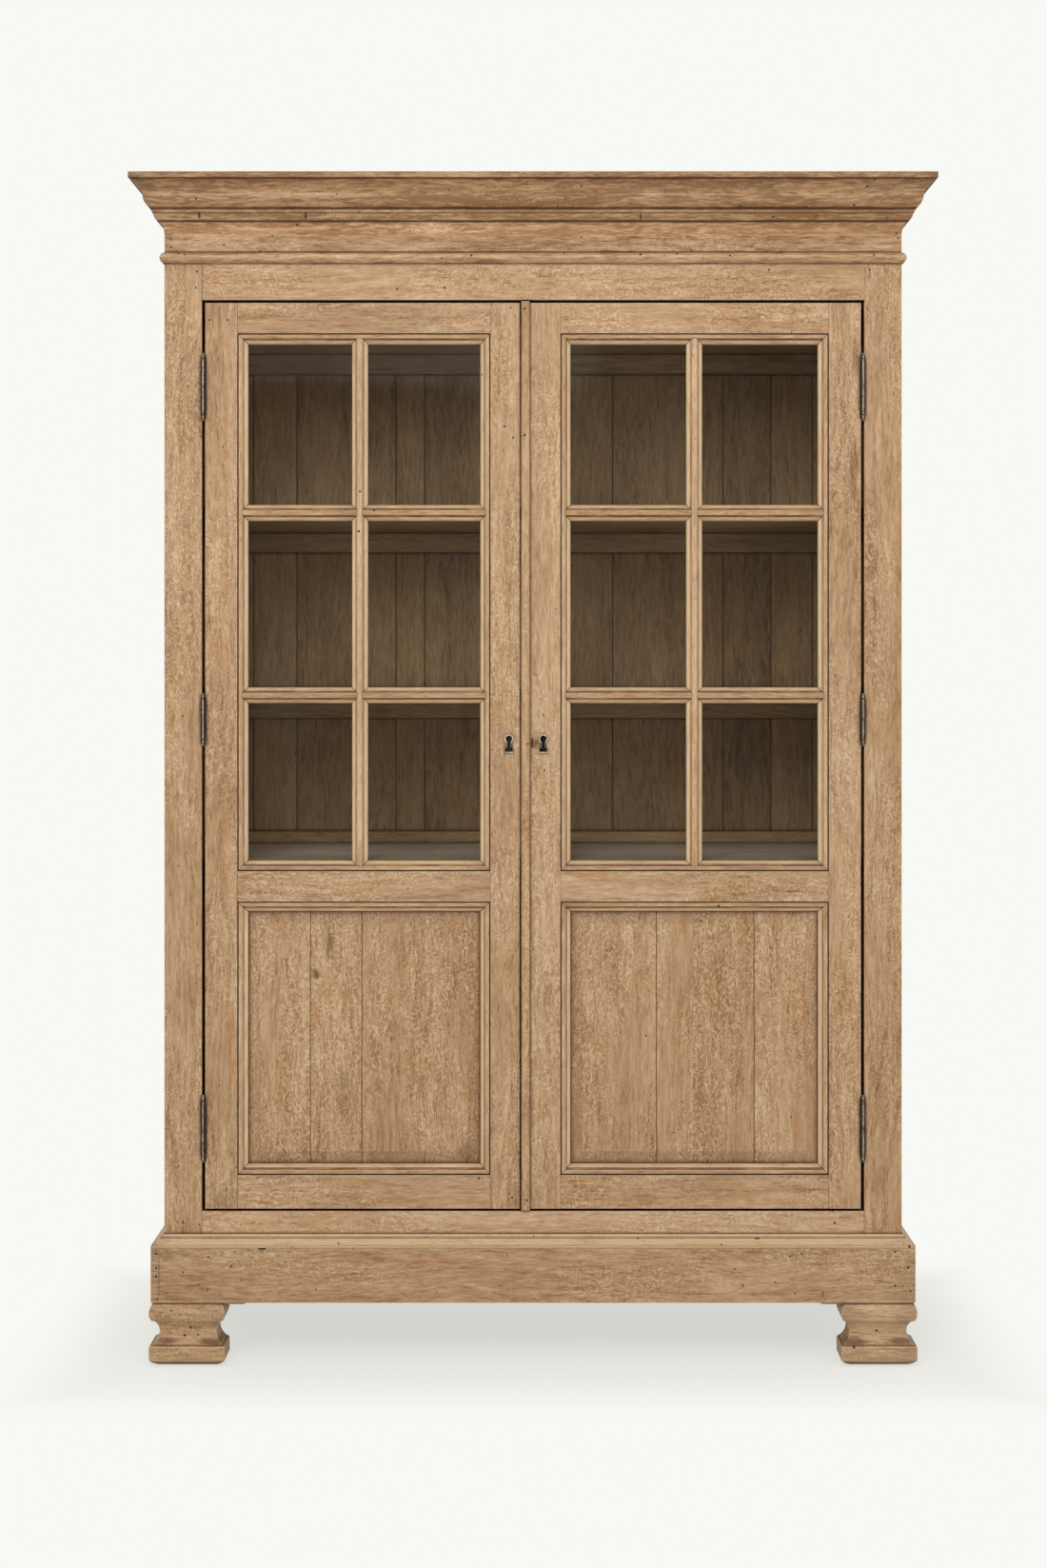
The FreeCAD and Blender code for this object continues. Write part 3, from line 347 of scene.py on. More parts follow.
def lay_grain(board, rng, lift, spread, along=None, joints=()):
    """Stores grain coordinates; joints are the X places where a panel's boards are glued."""
    mesh = board.data
    points, corners = mesh_arrays(mesh)
    low, high = points.min(axis=0), points.max(axis=0)
    if along is None:
        along = int(np.argmax(high - low))
    others = [axis for axis in range(3) if axis != along]
    axes = [along] + sorted(others, key=lambda axis: low[axis] - high[axis])
    face_of_corner = np.repeat(np.arange(len(mesh.polygons)), [p.loop_total for p in mesh.polygons])
    middles = np.array([p.center.x for p in mesh.polygons])
    member = np.searchsorted(np.array(joints), middles)[face_of_corner]
    members = range(len(joints) + 1)
    shifts = np.array([[rng.uniform(0, TREE_SIZE) for axis in range(3)] for i in members])
    tones = np.array([lift + (rng.random() - 0.5) * spread for i in members])
    at = points[corners]
    grain = mesh.attributes.new(GRAIN, "FLOAT_VECTOR", "CORNER")
    grain.data.foreach_set("vector", (at[:, axes] + shifts[member]).reshape(-1))
    middle = (low[along] + high[along]) / 2
    half = (high[along] - low[along]) / 2
    story = np.stack([at[:, along] - middle, np.full(len(at), half), tones[member]], axis=1)
    layer = mesh.attributes.new(BOARD, "FLOAT_VECTOR", "CORNER")
    layer.data.foreach_set("vector", story.reshape(-1))


print("boards are cut from a tree of", TREE_SIZE, "m")

# %% [markdown]
# ## Writing a finish as sums
#
# A material is a graph of nodes. Written node by node it is long and hard to follow, so one small
# class wraps a socket and lets Python's own operators add the Math nodes. A finish can then say
# `0.5 + streak * 0.8`, and the graph follows. One other method makes any other kind of node, and
# the short ones after it name the usual nodes.


# %% The socket class
class Value:
    """A socket that can be used in a sum."""

    def __init__(self, finish, socket):
        self.finish = finish
        self.socket = socket

    def math(self, operation, *others):
        inputs = dict(enumerate((self,) + others))
        return self.finish.node("ShaderNodeMath", {"operation": operation}, inputs)

    def __add__(self, other):
        return self.math("ADD", other)

    def __sub__(self, other):
        return self.math("SUBTRACT", other)

    def __rsub__(self, other):
        return self.finish.node("ShaderNodeMath", {"operation": "SUBTRACT"}, {0: other, 1: self})

    def __mul__(self, other):
        return self.math("MULTIPLY", other)

    def __truediv__(self, other):
        return self.math("DIVIDE", other)

    __radd__ = __add__
    __rmul__ = __mul__

    def between(self, low, high):
        """0 below low, 1 above high, and a smooth step from one to the other."""
        settings = {"interpolation_type": "SMOOTHSTEP"}
        return self.finish.node("ShaderNodeMapRange", settings, {"Value": self, 1: low, 2: high})


print("sums are written with", Value.__name__)


# %% The finish class
class Finish:
    """A material that is being made, or the light of a world."""

    def __init__(self, name, owners=bpy.data.materials):
        self.owner = owners.new(name)
        self.owner.use_nodes = True
        self.tree = self.owner.node_tree
        self.tree.nodes.clear()

    def node(self, kind, settings=None, inputs=None, out=0):
        """Adds a node, sets its settings, then its sockets, and wraps one output."""
        made = self.tree.nodes.new(kind)
        for name, value in (settings or {}).items():
            if name == "stops":
                set_stops(made.color_ramp, value)
            else:
                setattr(made, name, value)
        for name, value in (inputs or {}).items():
            if isinstance(value, Value):
                self.tree.links.new(value.socket, made.inputs[name])
            else:
                made.inputs[name].default_value = value
        return Value(self, made.outputs[out])

    def place(self):
        """Where a point is on the bookcase, in metres."""
        return self.node("ShaderNodeTexCoord", out="Object")

    def stored(self, name, out="Fac"):
        """What a mesh stores under a name."""
        return self.node("ShaderNodeAttribute", {"attribute_name": name}, out=out)

    def part(self, vector, axis):
        """One of the three numbers of a vector."""
        return self.node("ShaderNodeSeparateXYZ", None, {0: vector}, axis)

    def vectors(self, operation, *inputs, out=0):
        settings = {"operation": operation}
        return self.node("ShaderNodeVectorMath", settings, dict(enumerate(inputs)), out)

    def noise(self, vector, waves, detail=2.0, roughness=0.5, distortion=0.0, out="Fac"):
        """A noise with so many waves in a metre along each axis."""
        inputs = {
            "Vector": self.vectors("MULTIPLY", vector, waves), "Scale": 1.0, "Detail": detail,
            "Roughness": roughness, "Distortion": distortion,
        }
        return self.node("ShaderNodeTexNoise", None, inputs, out)

    def openness(self, distance, samples):
        """1 in the open, and less where other faces are within a distance."""
        inputs = {"Distance": distance}
        return self.node("ShaderNodeAmbientOcclusion", {"samples": samples}, inputs, "AO")

    def ramp(self, stops, share):
        return self.node("ShaderNodeValToRGB", {"stops": stops}, {0: share})

    def mix(self, share, first, second, blend="MIX"):
        """Colours mixed by a share."""
        settings = {"data_type": "RGBA", "blend_type": blend}
        return self.node("ShaderNodeMix", settings, {0: share, 6: first, 7: second}, 2)

    def bump(self, height, strength, distance):
        inputs = {"Strength": strength, "Distance": distance, "Height": height}
        return self.node("ShaderNodeBump", None, inputs)

    def seen(self):
        """1 for a ray that the camera sees straight, off a shiny face or through glass."""
        kinds = ("Is Camera Ray", "Is Glossy Ray", "Is Transmission Ray")
        straight, glossy, through = [self.node("ShaderNodeLightPath", out=kind) for kind in kinds]
        return straight.math("MAXIMUM", glossy).math("MAXIMUM", through)

    def blend(self, share, first, second):
        """Shaders mixed by a share."""
        return self.node("ShaderNodeMixShader", None, {0: share, 1: first, 2: second})

    def surface(self, shader, output="ShaderNodeOutputMaterial"):
        end = self.tree.nodes.new(output)
        self.tree.links.new(shader.socket, end.inputs["Surface"])
        return self.owner

    def principled(self, inputs):
        """Ends the graph as wood, steel and putty do."""
        return self.surface(self.node("ShaderNodeBsdfPrincipled", None, inputs))


print("graphs are written with", Finish.__name__)


# %% Ramps and paints
def set_stops(ramp, stops):
    while len(ramp.elements) < len(stops):
        ramp.elements.new(0.5)
    for element, (place, colour) in zip(ramp.elements, stops):
        element.position = place
        element.color = colour


def paint(red, green, blue):
    """A colour given in the 0 to 255 steps of a paint card, as a linear colour."""
    linear = [((step / 255 + 0.055) / 1.055) ** 2.4 for step in (red, green, blue)]
    return (*linear, 1.0)


print("the middle step of a paint card is", round(paint(128, 128, 128)[0], 3), "as a linear colour")

# %% [markdown]
# ## Grain and figure of oak
#
# The outside has been stripped and bleached to a dry tan. Up close the colour is never even: fine
# fibres and pores run along the board, broader streaks follow the growth rings, and quarter sawn
# oak adds a short curly figure across them. The sine of a slow noise draws that figure, because its
# ripples wind about like the rays in the wood. Most other layers are noises with few waves along the
# board and many across.


# %% Grain and figure
RIPPLES = 60.0
FIGURE_STEP = 0.28


class Oak(Finish):
    """Oak that is being made, with what its boards store and the noises that its layers share."""

    def __init__(self, name):
        super().__init__(name)
        self.at = self.place()
        self.grain = self.stored(GRAIN, "Vector")
        board = self.stored(BOARD, "Vector")
        self.from_middle, self.half_length, self.lift = [self.part(board, i) for i in range(3)]
        wander = self.noise(self.grain, (2.5, 9.0, 9.0), out="Color")
        centred = self.vectors("SUBTRACT", wander, (0.5, 0.5, 0.5))
        bend = self.vectors("MULTIPLY", centred, (0.0, 0.05, 0.05))
        self.bent = self.vectors("ADD", self.grain, bend)
        self.streak = self.noise(self.bent, (16.0, 130.0, 130.0), detail=3.0, roughness=0.6)
        self.fibre = self.noise(self.bent, (45.0, 300.0, 300.0), roughness=0.6, distortion=0.6)
        self.cloud = self.noise(self.at, (4.0, 4.0, 4.0), detail=4.0)


def straight_grain(oak):
    """Bands, streaks and fibres along the board."""
    band = oak.noise(oak.bent, (3.0, 34.0, 34.0))
    return (band - 0.5) * 0.3 + (oak.streak - 0.5) * 0.5 + (oak.fibre - 0.5) * 0.5


def curly_figure(oak, curl, figured):
    """Short strokes, in the parts of a board where a slow noise is above the level figured."""
    swirl = oak.noise(oak.bent, (30.0, 42.0, 42.0), roughness=0.55)
    broken = oak.noise(oak.bent, (60.0, 110.0, 110.0), detail=1.0)
    slow = oak.noise(oak.grain, (3.0, 12.0, 12.0), detail=1.0)
    strokes = (swirl * RIPPLES).math("SINE").math("MAXIMUM", -0.4)
    return strokes * broken * slow.between(figured, figured + FIGURE_STEP) * curl


def fine_marks(oak, flecks):
    """Dark flecks, hair cracks and pores."""
    fleck = oak.noise(oak.bent, (60.0, 260.0, 260.0), detail=1.0, distortion=0.8)
    crack = (oak.noise(oak.bent, (3.0, 150.0, 150.0), detail=1.0) - 0.5).math("ABSOLUTE")
    cracked = (1 - crack.between(0.004, 0.014)) * oak.cloud.between(0.5, 0.68)
    pore = oak.noise(oak.bent, (70.0, 1500.0, 1500.0), detail=1.0)
    return fleck.between(0.68, 0.78) * flecks + cracked * 0.5 + pore.between(0.60, 0.72) * 0.3


print("the sine of the figure turns through", RIPPLES, "radians")

# %% [markdown]
# ## Stains, wear, dirt and painted shade
#
# Rubbed edges are paler than the rest, and dirt stays at the ends of boards. Joints and wide
# corners are darker as well, partly from dirt and partly as painted shade: how open a point is
# tells a corner from a face, as a short reach finds the joints and a long one the wide corners.
# Dust lies on what looks up: thin at the front, where a duster reaches, and thick at the back.
# Stains are soft patches with ragged edges; long flat ones paint shadow lines round the mouldings,
# and pale ones are painted highlights.


# %% Wear, dirt and painted shade
DUST = "dust"
LINE_DIRT_AND_SHADE = 0.95
# The brown of the painted shade on moulding slopes.
SLOPE_SHADE_BROWN = (0.42, 0.33, 0.25, 1.0)
GRIME_AND_SHADE_BROWN = (0.2, 0.135, 0.085, 1.0)


def shade_highlight_and_wear(oak, colour, nook, worn_colour):
    """Painted shade on moulding slopes, a painted highlight on nosings, and paler worn edges."""
    profile = oak.stored(PROFILE)
    # The browner slopes are painted shade, most on level mouldings.
    slope = profile.math("MAXIMUM", 0.0) * (0.1 + oak.streak.between(0.38, 0.66) * 0.6)
    colour = oak.mix(slope.math("MINIMUM", 1.0), colour, SLOPE_SHADE_BROWN, "MULTIPLY")
    # The pale nosing is a painted highlight.
    nosing = (0 - profile).math("MAXIMUM", 0.0) * (0.1 + oak.streak * 1.1)
    colour = oak.mix(nosing, colour, paint(234, 205, 166))
    edge = oak.stored(WORN) * nook.between(0.7, 1.0) * (0.25 + oak.streak * 0.7)
    return oak.mix(edge, colour, worn_colour)


def soiled_and_shaded(oak, colour, nook, corner, tight, soft):
    """Dirt and painted shade in lines at the joints and softly in wide corners, and dirt at board ends."""
    to_end = oak.half_length - oak.from_middle.math("ABSOLUTE")
    ends = (1 - to_end.between(0.0, 0.06)) * (0.1 + (oak.cloud - 0.5) * 1.5)
    # How shut in a point is darkens wide corners softly and joints in lines: painted shade, with some
    # dirt.
    corners = (1 - corner.between(0.1, 0.9)) * (0.15 + oak.cloud * 0.45) * soft
    lines = (1 - nook.between(*tight)) * LINE_DIRT_AND_SHADE
    grime_and_shade = (corners + lines + ends.math("MAXIMUM", 0.0)).math("MINIMUM", 0.95)
    return oak.mix(grime_and_shade, colour, GRIME_AND_SHADE_BROWN, "MULTIPLY")


def dusted(oak, colour, dusty):
    thick = oak.part(oak.at, Y).between(-0.14, 0.02)
    return oak.mix(oak.stored(DUST) * (0.35 + thick * 0.65), colour, dusty)


# These lines are painted shade as well as dirt.
print("lines of dirt take a share of up to", LINE_DIRT_AND_SHADE)

# %% Worm holes, staining and painted light
WORM_SPACING = 70 * MM
WORM_RADIUS = 1.6 * MM
STAIN_AND_SHADOW_BROWN = (0.32, 0.245, 0.19, 1.0)
HIGHLIGHT_LIFT = (1.52, 1.6, 1.7, 1.0)


def worm_holes(oak, share):
    """Small holes on the wide faces of a board, in a share of the cells of a random net."""
    settings = {"voronoi_dimensions": "2D"}
    inputs = {"Vector": oak.grain, "Scale": 1 / WORM_SPACING}
    distance = oak.node("ShaderNodeTexVoronoi", settings, inputs, "Distance")
    cell = oak.node("ShaderNodeTexVoronoi", settings, inputs, "Color")
    luck = oak.node("ShaderNodeSeparateColor", None, {0: cell}, "Red")
    radius = (oak.node("ShaderNodeSeparateColor", None, {0: cell}, "Green") * 0.7 + 0.5) * WORM_RADIUS
    inside = 1 - (distance * WORM_SPACING / radius).between(0.7, 1.1)
    return inside * luck.math("GREATER_THAN", 1 - share)


def add_stains_and_painted_light(oak, colour, stains_and_painted_light):
    """Stains and painted lines: middles, half sizes in metres, strengths, below 0 for painted highlights.
    """
    for middle, size, strength in stains_and_painted_light:
        away = oak.vectors("SUBTRACT", oak.at, middle)
        away = oak.vectors("MULTIPLY", away, tuple(1 / side for side in size))
        ragged = oak.vectors("LENGTH", away, out="Value") + (oak.streak - 0.5) * 0.8
        share = (1 - ragged.between(0.25, 1.0)) * abs(strength)
        # Above 0 this darkens as a stain or a painted shadow; below 0 it lightens as a painted highlight.
        colour = oak.mix(share, colour, STAIN_AND_SHADOW_BROWN if strength > 0 else HIGHLIGHT_LIFT, "MULTIPLY")
    return colour


print("the net of worm holes has cells of", round(WORM_SPACING / MM), "mm")

# %% [markdown]
# ## One recipe for all oak
#
# The layers add up to a tone, the tone goes through a colour ramp, and wear, dirt, painted shade,
# holes and staining go over it. The frames of the case and the doors take plain bleached oak, the
# panels one with more figure, the cornice and the frieze one with long streaks, the plinth and the
# feet one between these two, thin mouldings one with crisper lines of dirt and painted shade, and
# the inside a darker one with dust.


# %% The oak recipe
CORNER_REACH = 45 * MM
AMBER = (0.88, 0.74, 0.58, 1.0)
PORE_BROWN = (0.3, 0.215, 0.15, 1.0)
HOLE_BROWN = paint(52, 36, 24)
# The near-black of painted shade in deep recesses.
DEEP_SHADE_BROWN = paint(26, 19, 14)
RUBBED_TAN = paint(214, 186, 150)


def oak_finish(
    name, stops, contrast=1.3, straight=1.0, curl=0.7, figured=0.36, warmth=0.5, flecks=0.5, holes=0.25,
    line=6.0, tight=(0.55, 1.0), soft=0.6, worn_colour=RUBBED_TAN, dust_stops=None, stains_and_painted_light=(),
):
    """Oak in the colours of a row of stops.

    The grain has its contrast, its shares of straight lines and of curl, and the level above which
    it is figured. Warmth, flecks and holes are shares. Dirt and painted shade have the reach of their
    lines in millimetres, the openness between which they fade, and the share of painted shade in soft
    corners.
    """
    oak = Oak(name)
    figure = curly_figure(oak, curl, figured)
    drawn = straight_grain(oak) * straight + figure * 0.2
    tone = 0.5 + drawn * contrast + (oak.cloud - 0.5) * 0.3 + oak.lift
    colour = oak.ramp(stops, tone)
    if dust_stops:
        colour = dusted(oak, colour, oak.ramp(dust_stops, tone))
    warm = oak.noise(oak.bent, (7.0, 32.0, 32.0)).between(0.54, 0.74) * warmth
    colour = oak.mix(warm, colour, AMBER, "MULTIPLY")
    marks = fine_marks(oak, flecks)
    colour = oak.mix(marks.math("MINIMUM", 0.8), colour, PORE_BROWN, "MULTIPLY")

    nook = oak.openness(line * MM, 6)
    corner = oak.openness(CORNER_REACH, 3)
    colour = shade_highlight_and_wear(oak, colour, nook, worn_colour)
    colour = soiled_and_shaded(oak, colour, nook, corner, tight, soft)
    pricks = worm_holes(oak, holes)
    colour = oak.mix(pricks * 0.9, colour, HOLE_BROWN)
    colour = add_stains_and_painted_light(oak, colour, stains_and_painted_light)
    # Points that are nearly shut in, such as the depth of a keyhole, are painted almost black: painted
    # shade.
    deep = 1 - corner.between(0.04, 0.26)
    colour = oak.mix(deep * 0.95, colour, DEEP_SHADE_BROWN)

    height = oak.fibre * 0.4 + oak.streak * 0.4 + figure * 0.5 - marks - pricks * 2
    return oak.principled({
        "Base Color": colour, "Roughness": 0.62 + (oak.streak - 0.5) * 0.25,
        "Normal": oak.bump(height, 0.25, MM), "Specular IOR Level": 0.3,
    })


# That darkening of wide corners is painted shade, with some dirt.
print("dirt reaches", round(CORNER_REACH / MM), "mm into wide corners")

# %% Colours of the oaks
tan_stops = [
    (0.20, paint(136, 99, 64)), (0.40, paint(172, 136, 99)),
    (0.56, paint(190, 155, 119)), (0.78, paint(212, 181, 145)),
]
brown_stops = [
    (0.22, paint(96, 72, 48)), (0.42, paint(148, 117, 83)),
    (0.58, paint(172, 139, 101)), (0.80, paint(202, 168, 126)),
]
dusty_stops = [
    (0.22, paint(172, 157, 137)), (0.44, paint(206, 192, 172)),
    (0.58, paint(222, 209, 190)), (0.80, paint(240, 229, 212)),
]
print("each oak runs through", len(tan_stops), "colours from dark to pale")

# %% [markdown]
# ## Where each stain and painted line is
#
# Stains are part of what makes this bookcase itself. They could be painted on a picture, but then
# every face would need a map of its own. A place and half sizes in metres put a stain on whatever
# board is there. The same patches paint light as well: long flat ones draw painted shadow lines and
# painted highlights all round the mouldings, and inside they paint a pale sheen and some shade.

# %% Places of each stain and painted line
# Between the keyholes, on the panels, along the left door's top rail and beside the right hinges.
door_stains = [
    ((0.004, -0.18, 1.152), (0.014, 0.03, 0.016), 0.9),
    ((-0.404, -0.18, 0.722), (0.010, 0.03, 0.016), 0.95),
    ((-0.379, -0.18, 0.779), (0.016, 0.03, 0.040), 0.6),
    ((-0.350, -0.18, 0.498), (0.026, 0.03, 0.075), 0.3),
    ((-0.122, -0.18, 0.388), (0.026, 0.03, 0.030), 0.45),
    ((0.492, -0.18, 0.842), (0.038, 0.03, 0.016), 0.4),
    ((0.500, -0.18, 0.362), (0.034, 0.03, 0.014), 0.45),
    ((-0.310, -0.18, 1.940), (0.340, 0.04, 0.055), 0.2),
    ((0.600, -0.18, 1.870), (0.010, 0.03, 0.060), 0.45),
    ((0.598, -0.18, 1.660), (0.012, 0.03, 0.075), 0.55),
    ((0.600, -0.18, 1.490), (0.008, 0.03, 0.050), 0.35),
]
# Lines all round the case: the height in metres, half the width in millimetres, and the strength.
# Above 0 they are painted shadow lines under the steps of the cornice, round the bead, on the plinth
# moulding and on the feet; below 0 they are painted highlights on crests, and a wide pale band of
# painted light over the cornice's cove.
level_lines = (
    (2.111, 18.0, -0.7), (2.204, 4.5, 0.6), (2.1915, 2.4, 0.8), (2.1435, 2.4, 0.95), (2.1215, 2.6, 1.0),
    (2.0665, 1.9, 0.85), (2.0440, 2.0, 0.9), (0.2345, 1.6, 0.6), (0.2239, 1.4, 0.35), (0.0395, 1.6, 0.7),
    (2.1385, 2.2, -0.6), (2.1660, 2.4, -0.35), (2.0575, 4.5, -0.5),
)
all_round = 5.0
foot_corners = (-0.681, -0.594, 0.594, 0.681)
case_stains_and_light_lines = [((x, -0.20, 0.045), (0.036, 0.06, 0.010), 0.8) for x in foot_corners]
# Each line becomes a flat patch that reaches all round: painted shadow, and painted highlight where the
# strength is below 0.
for height, half_width, strength in level_lines:
    case_stains_and_light_lines.append(((0.0, 0.0, height), (all_round, all_round, half_width * MM), strength))
# A painted pale sheen on the back boards in the middle left bay, and painted shade in both top bays.
inside_sheen_and_shade = [
    ((-0.20, 0.22, 1.36), (0.26, 0.06, 0.22), -0.45),
    ((-0.42, 0.22, 1.76), (0.32, 0.06, 0.22), 0.22),
    ((0.42, 0.22, 1.76), (0.32, 0.06, 0.22), 0.14),
]
# The counts hold painted lines on the case, and painted sheen and shade inside.
print("stains on doors, case and inside:", len(door_stains), len(case_stains_and_light_lines), len(inside_sheen_and_shade))

# %% Mix the oaks
bleached_oak = oak_finish(
    "bleached_oak", tan_stops, contrast=1.6, straight=0.75, curl=1.0, figured=0.32, stains_and_painted_light=door_stains
)
figured_oak = oak_finish(
    "figured_oak", tan_stops, contrast=1.4, straight=0.75, curl=1.3, figured=0.27, warmth=0.7, flecks=0.25,
    line=11.0, tight=(0.62, 0.98), soft=0.8, stains_and_painted_light=door_stains,
)
streaky_oak = oak_finish(
    "streaky_oak", tan_stops, contrast=1.6, curl=0.6, figured=0.46, line=5.0, soft=0.2, stains_and_painted_light=case_stains_and_light_lines
)
kicked_oak = oak_finish(
    "kicked_oak", tan_stops, contrast=1.5, straight=0.9, curl=1.1, figured=0.40, line=5.0, soft=0.2,
    stains_and_painted_light=case_stains_and_light_lines,
)
moulded_oak = oak_finish(
    "moulded_oak", tan_stops, curl=0.3, holes=0.08, line=3.5, tight=(0.4, 0.9), soft=0.1
)
dark_oak = oak_finish(
    "darkened_oak", brown_stops, contrast=1.0, curl=0.3, holes=0.1, worn_colour=paint(140, 116, 90),
    dust_stops=dusty_stops, stains_and_painted_light=inside_sheen_and_shade,
)
oaks = (bleached_oak, figured_oak, streaky_oak, kicked_oak, moulded_oak, dark_oak)
print("oak finishes:", ", ".join(oak.name for oak in oaks))

# %% [markdown]
# ## Steel, glass and putty
#
# The hinges, bolts and keyhole plates are plain steel that has gone dull, with darker spots where
# it has rusted and been rubbed clean again. Where other faces are near, steel is darker, partly
# from dirt and partly as painted shade. A hinge barrel is painted nearly black at its sides as
# painted shade, so it is bright only along its front. How far a point is to the side of the
# hinge's axis tells one from the other, so all barrels share one finish.
#
# The panes are old window glass: mostly clear, with a reflection that grows where a pane is seen
# edge on, and a thin film of dust. A glass shader would keep the lamps' light off the shelves, so
# the panes mix a clear shader with a shiny one and a matt one. Putty is dry and matt.


# %% The steel, glass and putty finishes
IRON_DIRT_AND_SHADE = (0.12, 0.085, 0.06, 1.0)
hinge_joints = [joint for joint in record["behaviour"]["joints"] if joint["type"] == "hinge"]
axis_of = {joint["child"]: joint["pos_m"] for joint in hinge_joints}


def steel_finish(name, stops, metal, barrel_x=None):
    """Tarnished steel; barrel_x is how far to either side the axes of the hinges are."""
    steel = Finish(name)
    place = steel.place()
    spots = steel.noise(place, (240.0, 240.0, 240.0), detail=4.0, roughness=0.65)
    brushing = steel.noise(place, (900.0, 900.0, 60.0))
    colour = steel.ramp(stops, spots + (brushing - 0.5) * 0.4)
    # Darker where other faces are near: painted shade, with some dirt.
    grime_and_shade = (1 - steel.openness(12 * MM, 6).between(0.5, 1.0)) * 0.9
    colour = steel.mix(grime_and_shade, colour, IRON_DIRT_AND_SHADE, "MULTIPLY")
    colour = steel.mix(steel.stored(WORN) * 0.4, colour, paint(190, 186, 178))
    roughness = 0.5 - (spots - 0.5) * 0.5
    if barrel_x is not None:
        across = steel.part(place, X).math("ABSOLUTE") - barrel_x
        side = across.math("ABSOLUTE").between(1.1 * MM, 2.6 * MM)
        # The sides of each barrel are painted nearly black: painted shade.
        colour = steel.mix(side, colour, paint(30, 25, 20))
        roughness = roughness.math("MAXIMUM", side)
        metal = (1 - side) * metal
    return steel.principled({
        "Base Color": colour, "Roughness": roughness, "Metallic": metal,
        "Normal": steel.bump(spots, 0.2, 0.4 * MM), "Specular IOR Level": 0.2,
    })


def glass_finish(name):
    glass = Finish(name)
    place = glass.place()
    ripple = glass.bump(glass.noise(place, (5.0, 5.0, 3.0), detail=1.0), 0.15, 4 * MM)
    clear = glass.node("ShaderNodeBsdfTransparent", None, {"Color": (0.93, 0.94, 0.93, 1.0)})
    shine = glass.node("ShaderNodeBsdfGlossy", None, {"Roughness": 0.04, "Normal": ripple})
    film = glass.node("ShaderNodeBsdfDiffuse", None, {"Color": paint(200, 198, 190)})
    edge_on = glass.node("ShaderNodeFresnel", None, {"IOR": 1.45})
    dust = glass.noise(place, (9.0, 9.0, 5.0), detail=4.0).between(0.3, 0.8)
    return glass.surface(glass.blend(dust * 0.008, glass.blend(edge_on * 0.08, clear, shine), film))


def lumpy_finish(name, stops, waves, detail, roughness, relief=None):
    """Matt stuff with small lumps; relief is how high they stand, where that shows."""
    matt = Finish(name)
    lumps = matt.noise(matt.place(), (waves, waves, waves), detail)
    inputs = {"Base Color": matt.ramp(stops, lumps), "Roughness": roughness + (lumps - 0.5) * 0.3}
    if relief:
        inputs["Normal"] = matt.bump(lumps, 0.4, relief)
    return matt.principled(inputs)


dull_steel = steel_finish("dull_steel", [
    (0.30, paint(56, 46, 37)), (0.50, paint(116, 106, 93)), (0.72, paint(168, 158, 144)),
], 0.7)
hinge_steel = steel_finish("hinge_steel", [
    (0.25, paint(70, 60, 49)), (0.50, paint(134, 124, 110)), (0.75, paint(176, 167, 152)),
], 0.6, barrel_x=axis_of["right_door"][X])
rubbed_steel = steel_finish("rubbed_steel", [
    (0.28, paint(96, 90, 81)), (0.48, paint(166, 160, 150)), (0.70, paint(208, 203, 194)),
], 0.5)
window_glass = glass_finish("window_glass")
dry_putty = lumpy_finish(
    "dry_putty", [(0.3, paint(120, 98, 74)), (0.7, paint(170, 148, 120))], 160.0, 4.0, 0.7, 0.8 * MM
)
print("steel finishes:", ", ".join(steel.name for steel in (dull_steel, hinge_steel, rubbed_steel)))

# %% [markdown]
# ## Which piece takes which finish
#
# A slot names the stuff that a node is made of, and most nodes take the one finish of their slot.
# A few kinds of piece have worn in their own way, and a word in the node's name picks those out.
# The first word that fits counts, so a longer word stands before a shorter one that it holds.

# %% Choose the finishes
finish_of_slot = {
    "oak": bleached_oak, "oak_inside": dark_oak, "steel": dull_steel,
    "glass": window_glass, "putty": dry_putty,
}
finish_of_kind = {
    "door_mouldings": moulded_oak, "glazing_bars": moulded_oak, "door_panel": figured_oak,
    "cornice": streaky_oak, "frieze": streaky_oak, "plinth_back": dark_oak, "plinth": kicked_oak,
    "foot_glue": dark_oak, "foot": kicked_oak, "escutcheon": rubbed_steel,
    "hinge_leaves": hinge_steel, "hinge_post": hinge_steel,
}


def value_for(node, values, plain):
    """The value of the first kind that is part of a node's name."""
    for kind, value in values.items():
        if kind in node:
            return value
    return plain


def finish_of(node):
    return value_for(node, finish_of_kind, finish_of_slot[slot_of[node]])


print("finishes by slot:", ", ".join(sorted(finish_of_slot)))

# %% [markdown]
# ## The boards of the case and the doors
#
# Every wooden node goes the same way over the bench: it is taken apart into boards, its flat faces
# are made whole, its arrises are eased by what that kind of piece has worn, and each board gets its
# own grain. Thin mouldings keep crisp edges, while feet and plinth have been kicked round.

# %% Easing and tone of each kind of piece
plain_easing = 0.9
eased_by_kind = {
    "foot": 2.4, "plinth": 1.4, "cornice": 0.9, "frieze": 0.7, "moulding": 0.45, "glazing": 0.45,
    "closing": 0.7,
}
# Some kinds are drawn lighter or darker than the rest: the cornice and the frieze darker, and the plinth
# moulding, which looks up, much lighter, as painted light from above.
lift_by_kind = {
    "foot": 0.06, "plinth_moulding": 0.27, "plinth": -0.03, "cornice": -0.19, "frieze_bead": -0.06,
    "frieze": -0.13, "panel": -0.05, "moulding": 0.1, "glazing": 0.1, "face_bottom": 0.09,
    "face_top": 0.04, "left_door_rails": -0.03, "right_meeting": 0.05, "front_post": -0.03,
}
print("kinds with their own easing and tone:", len(eased_by_kind), len(lift_by_kind))

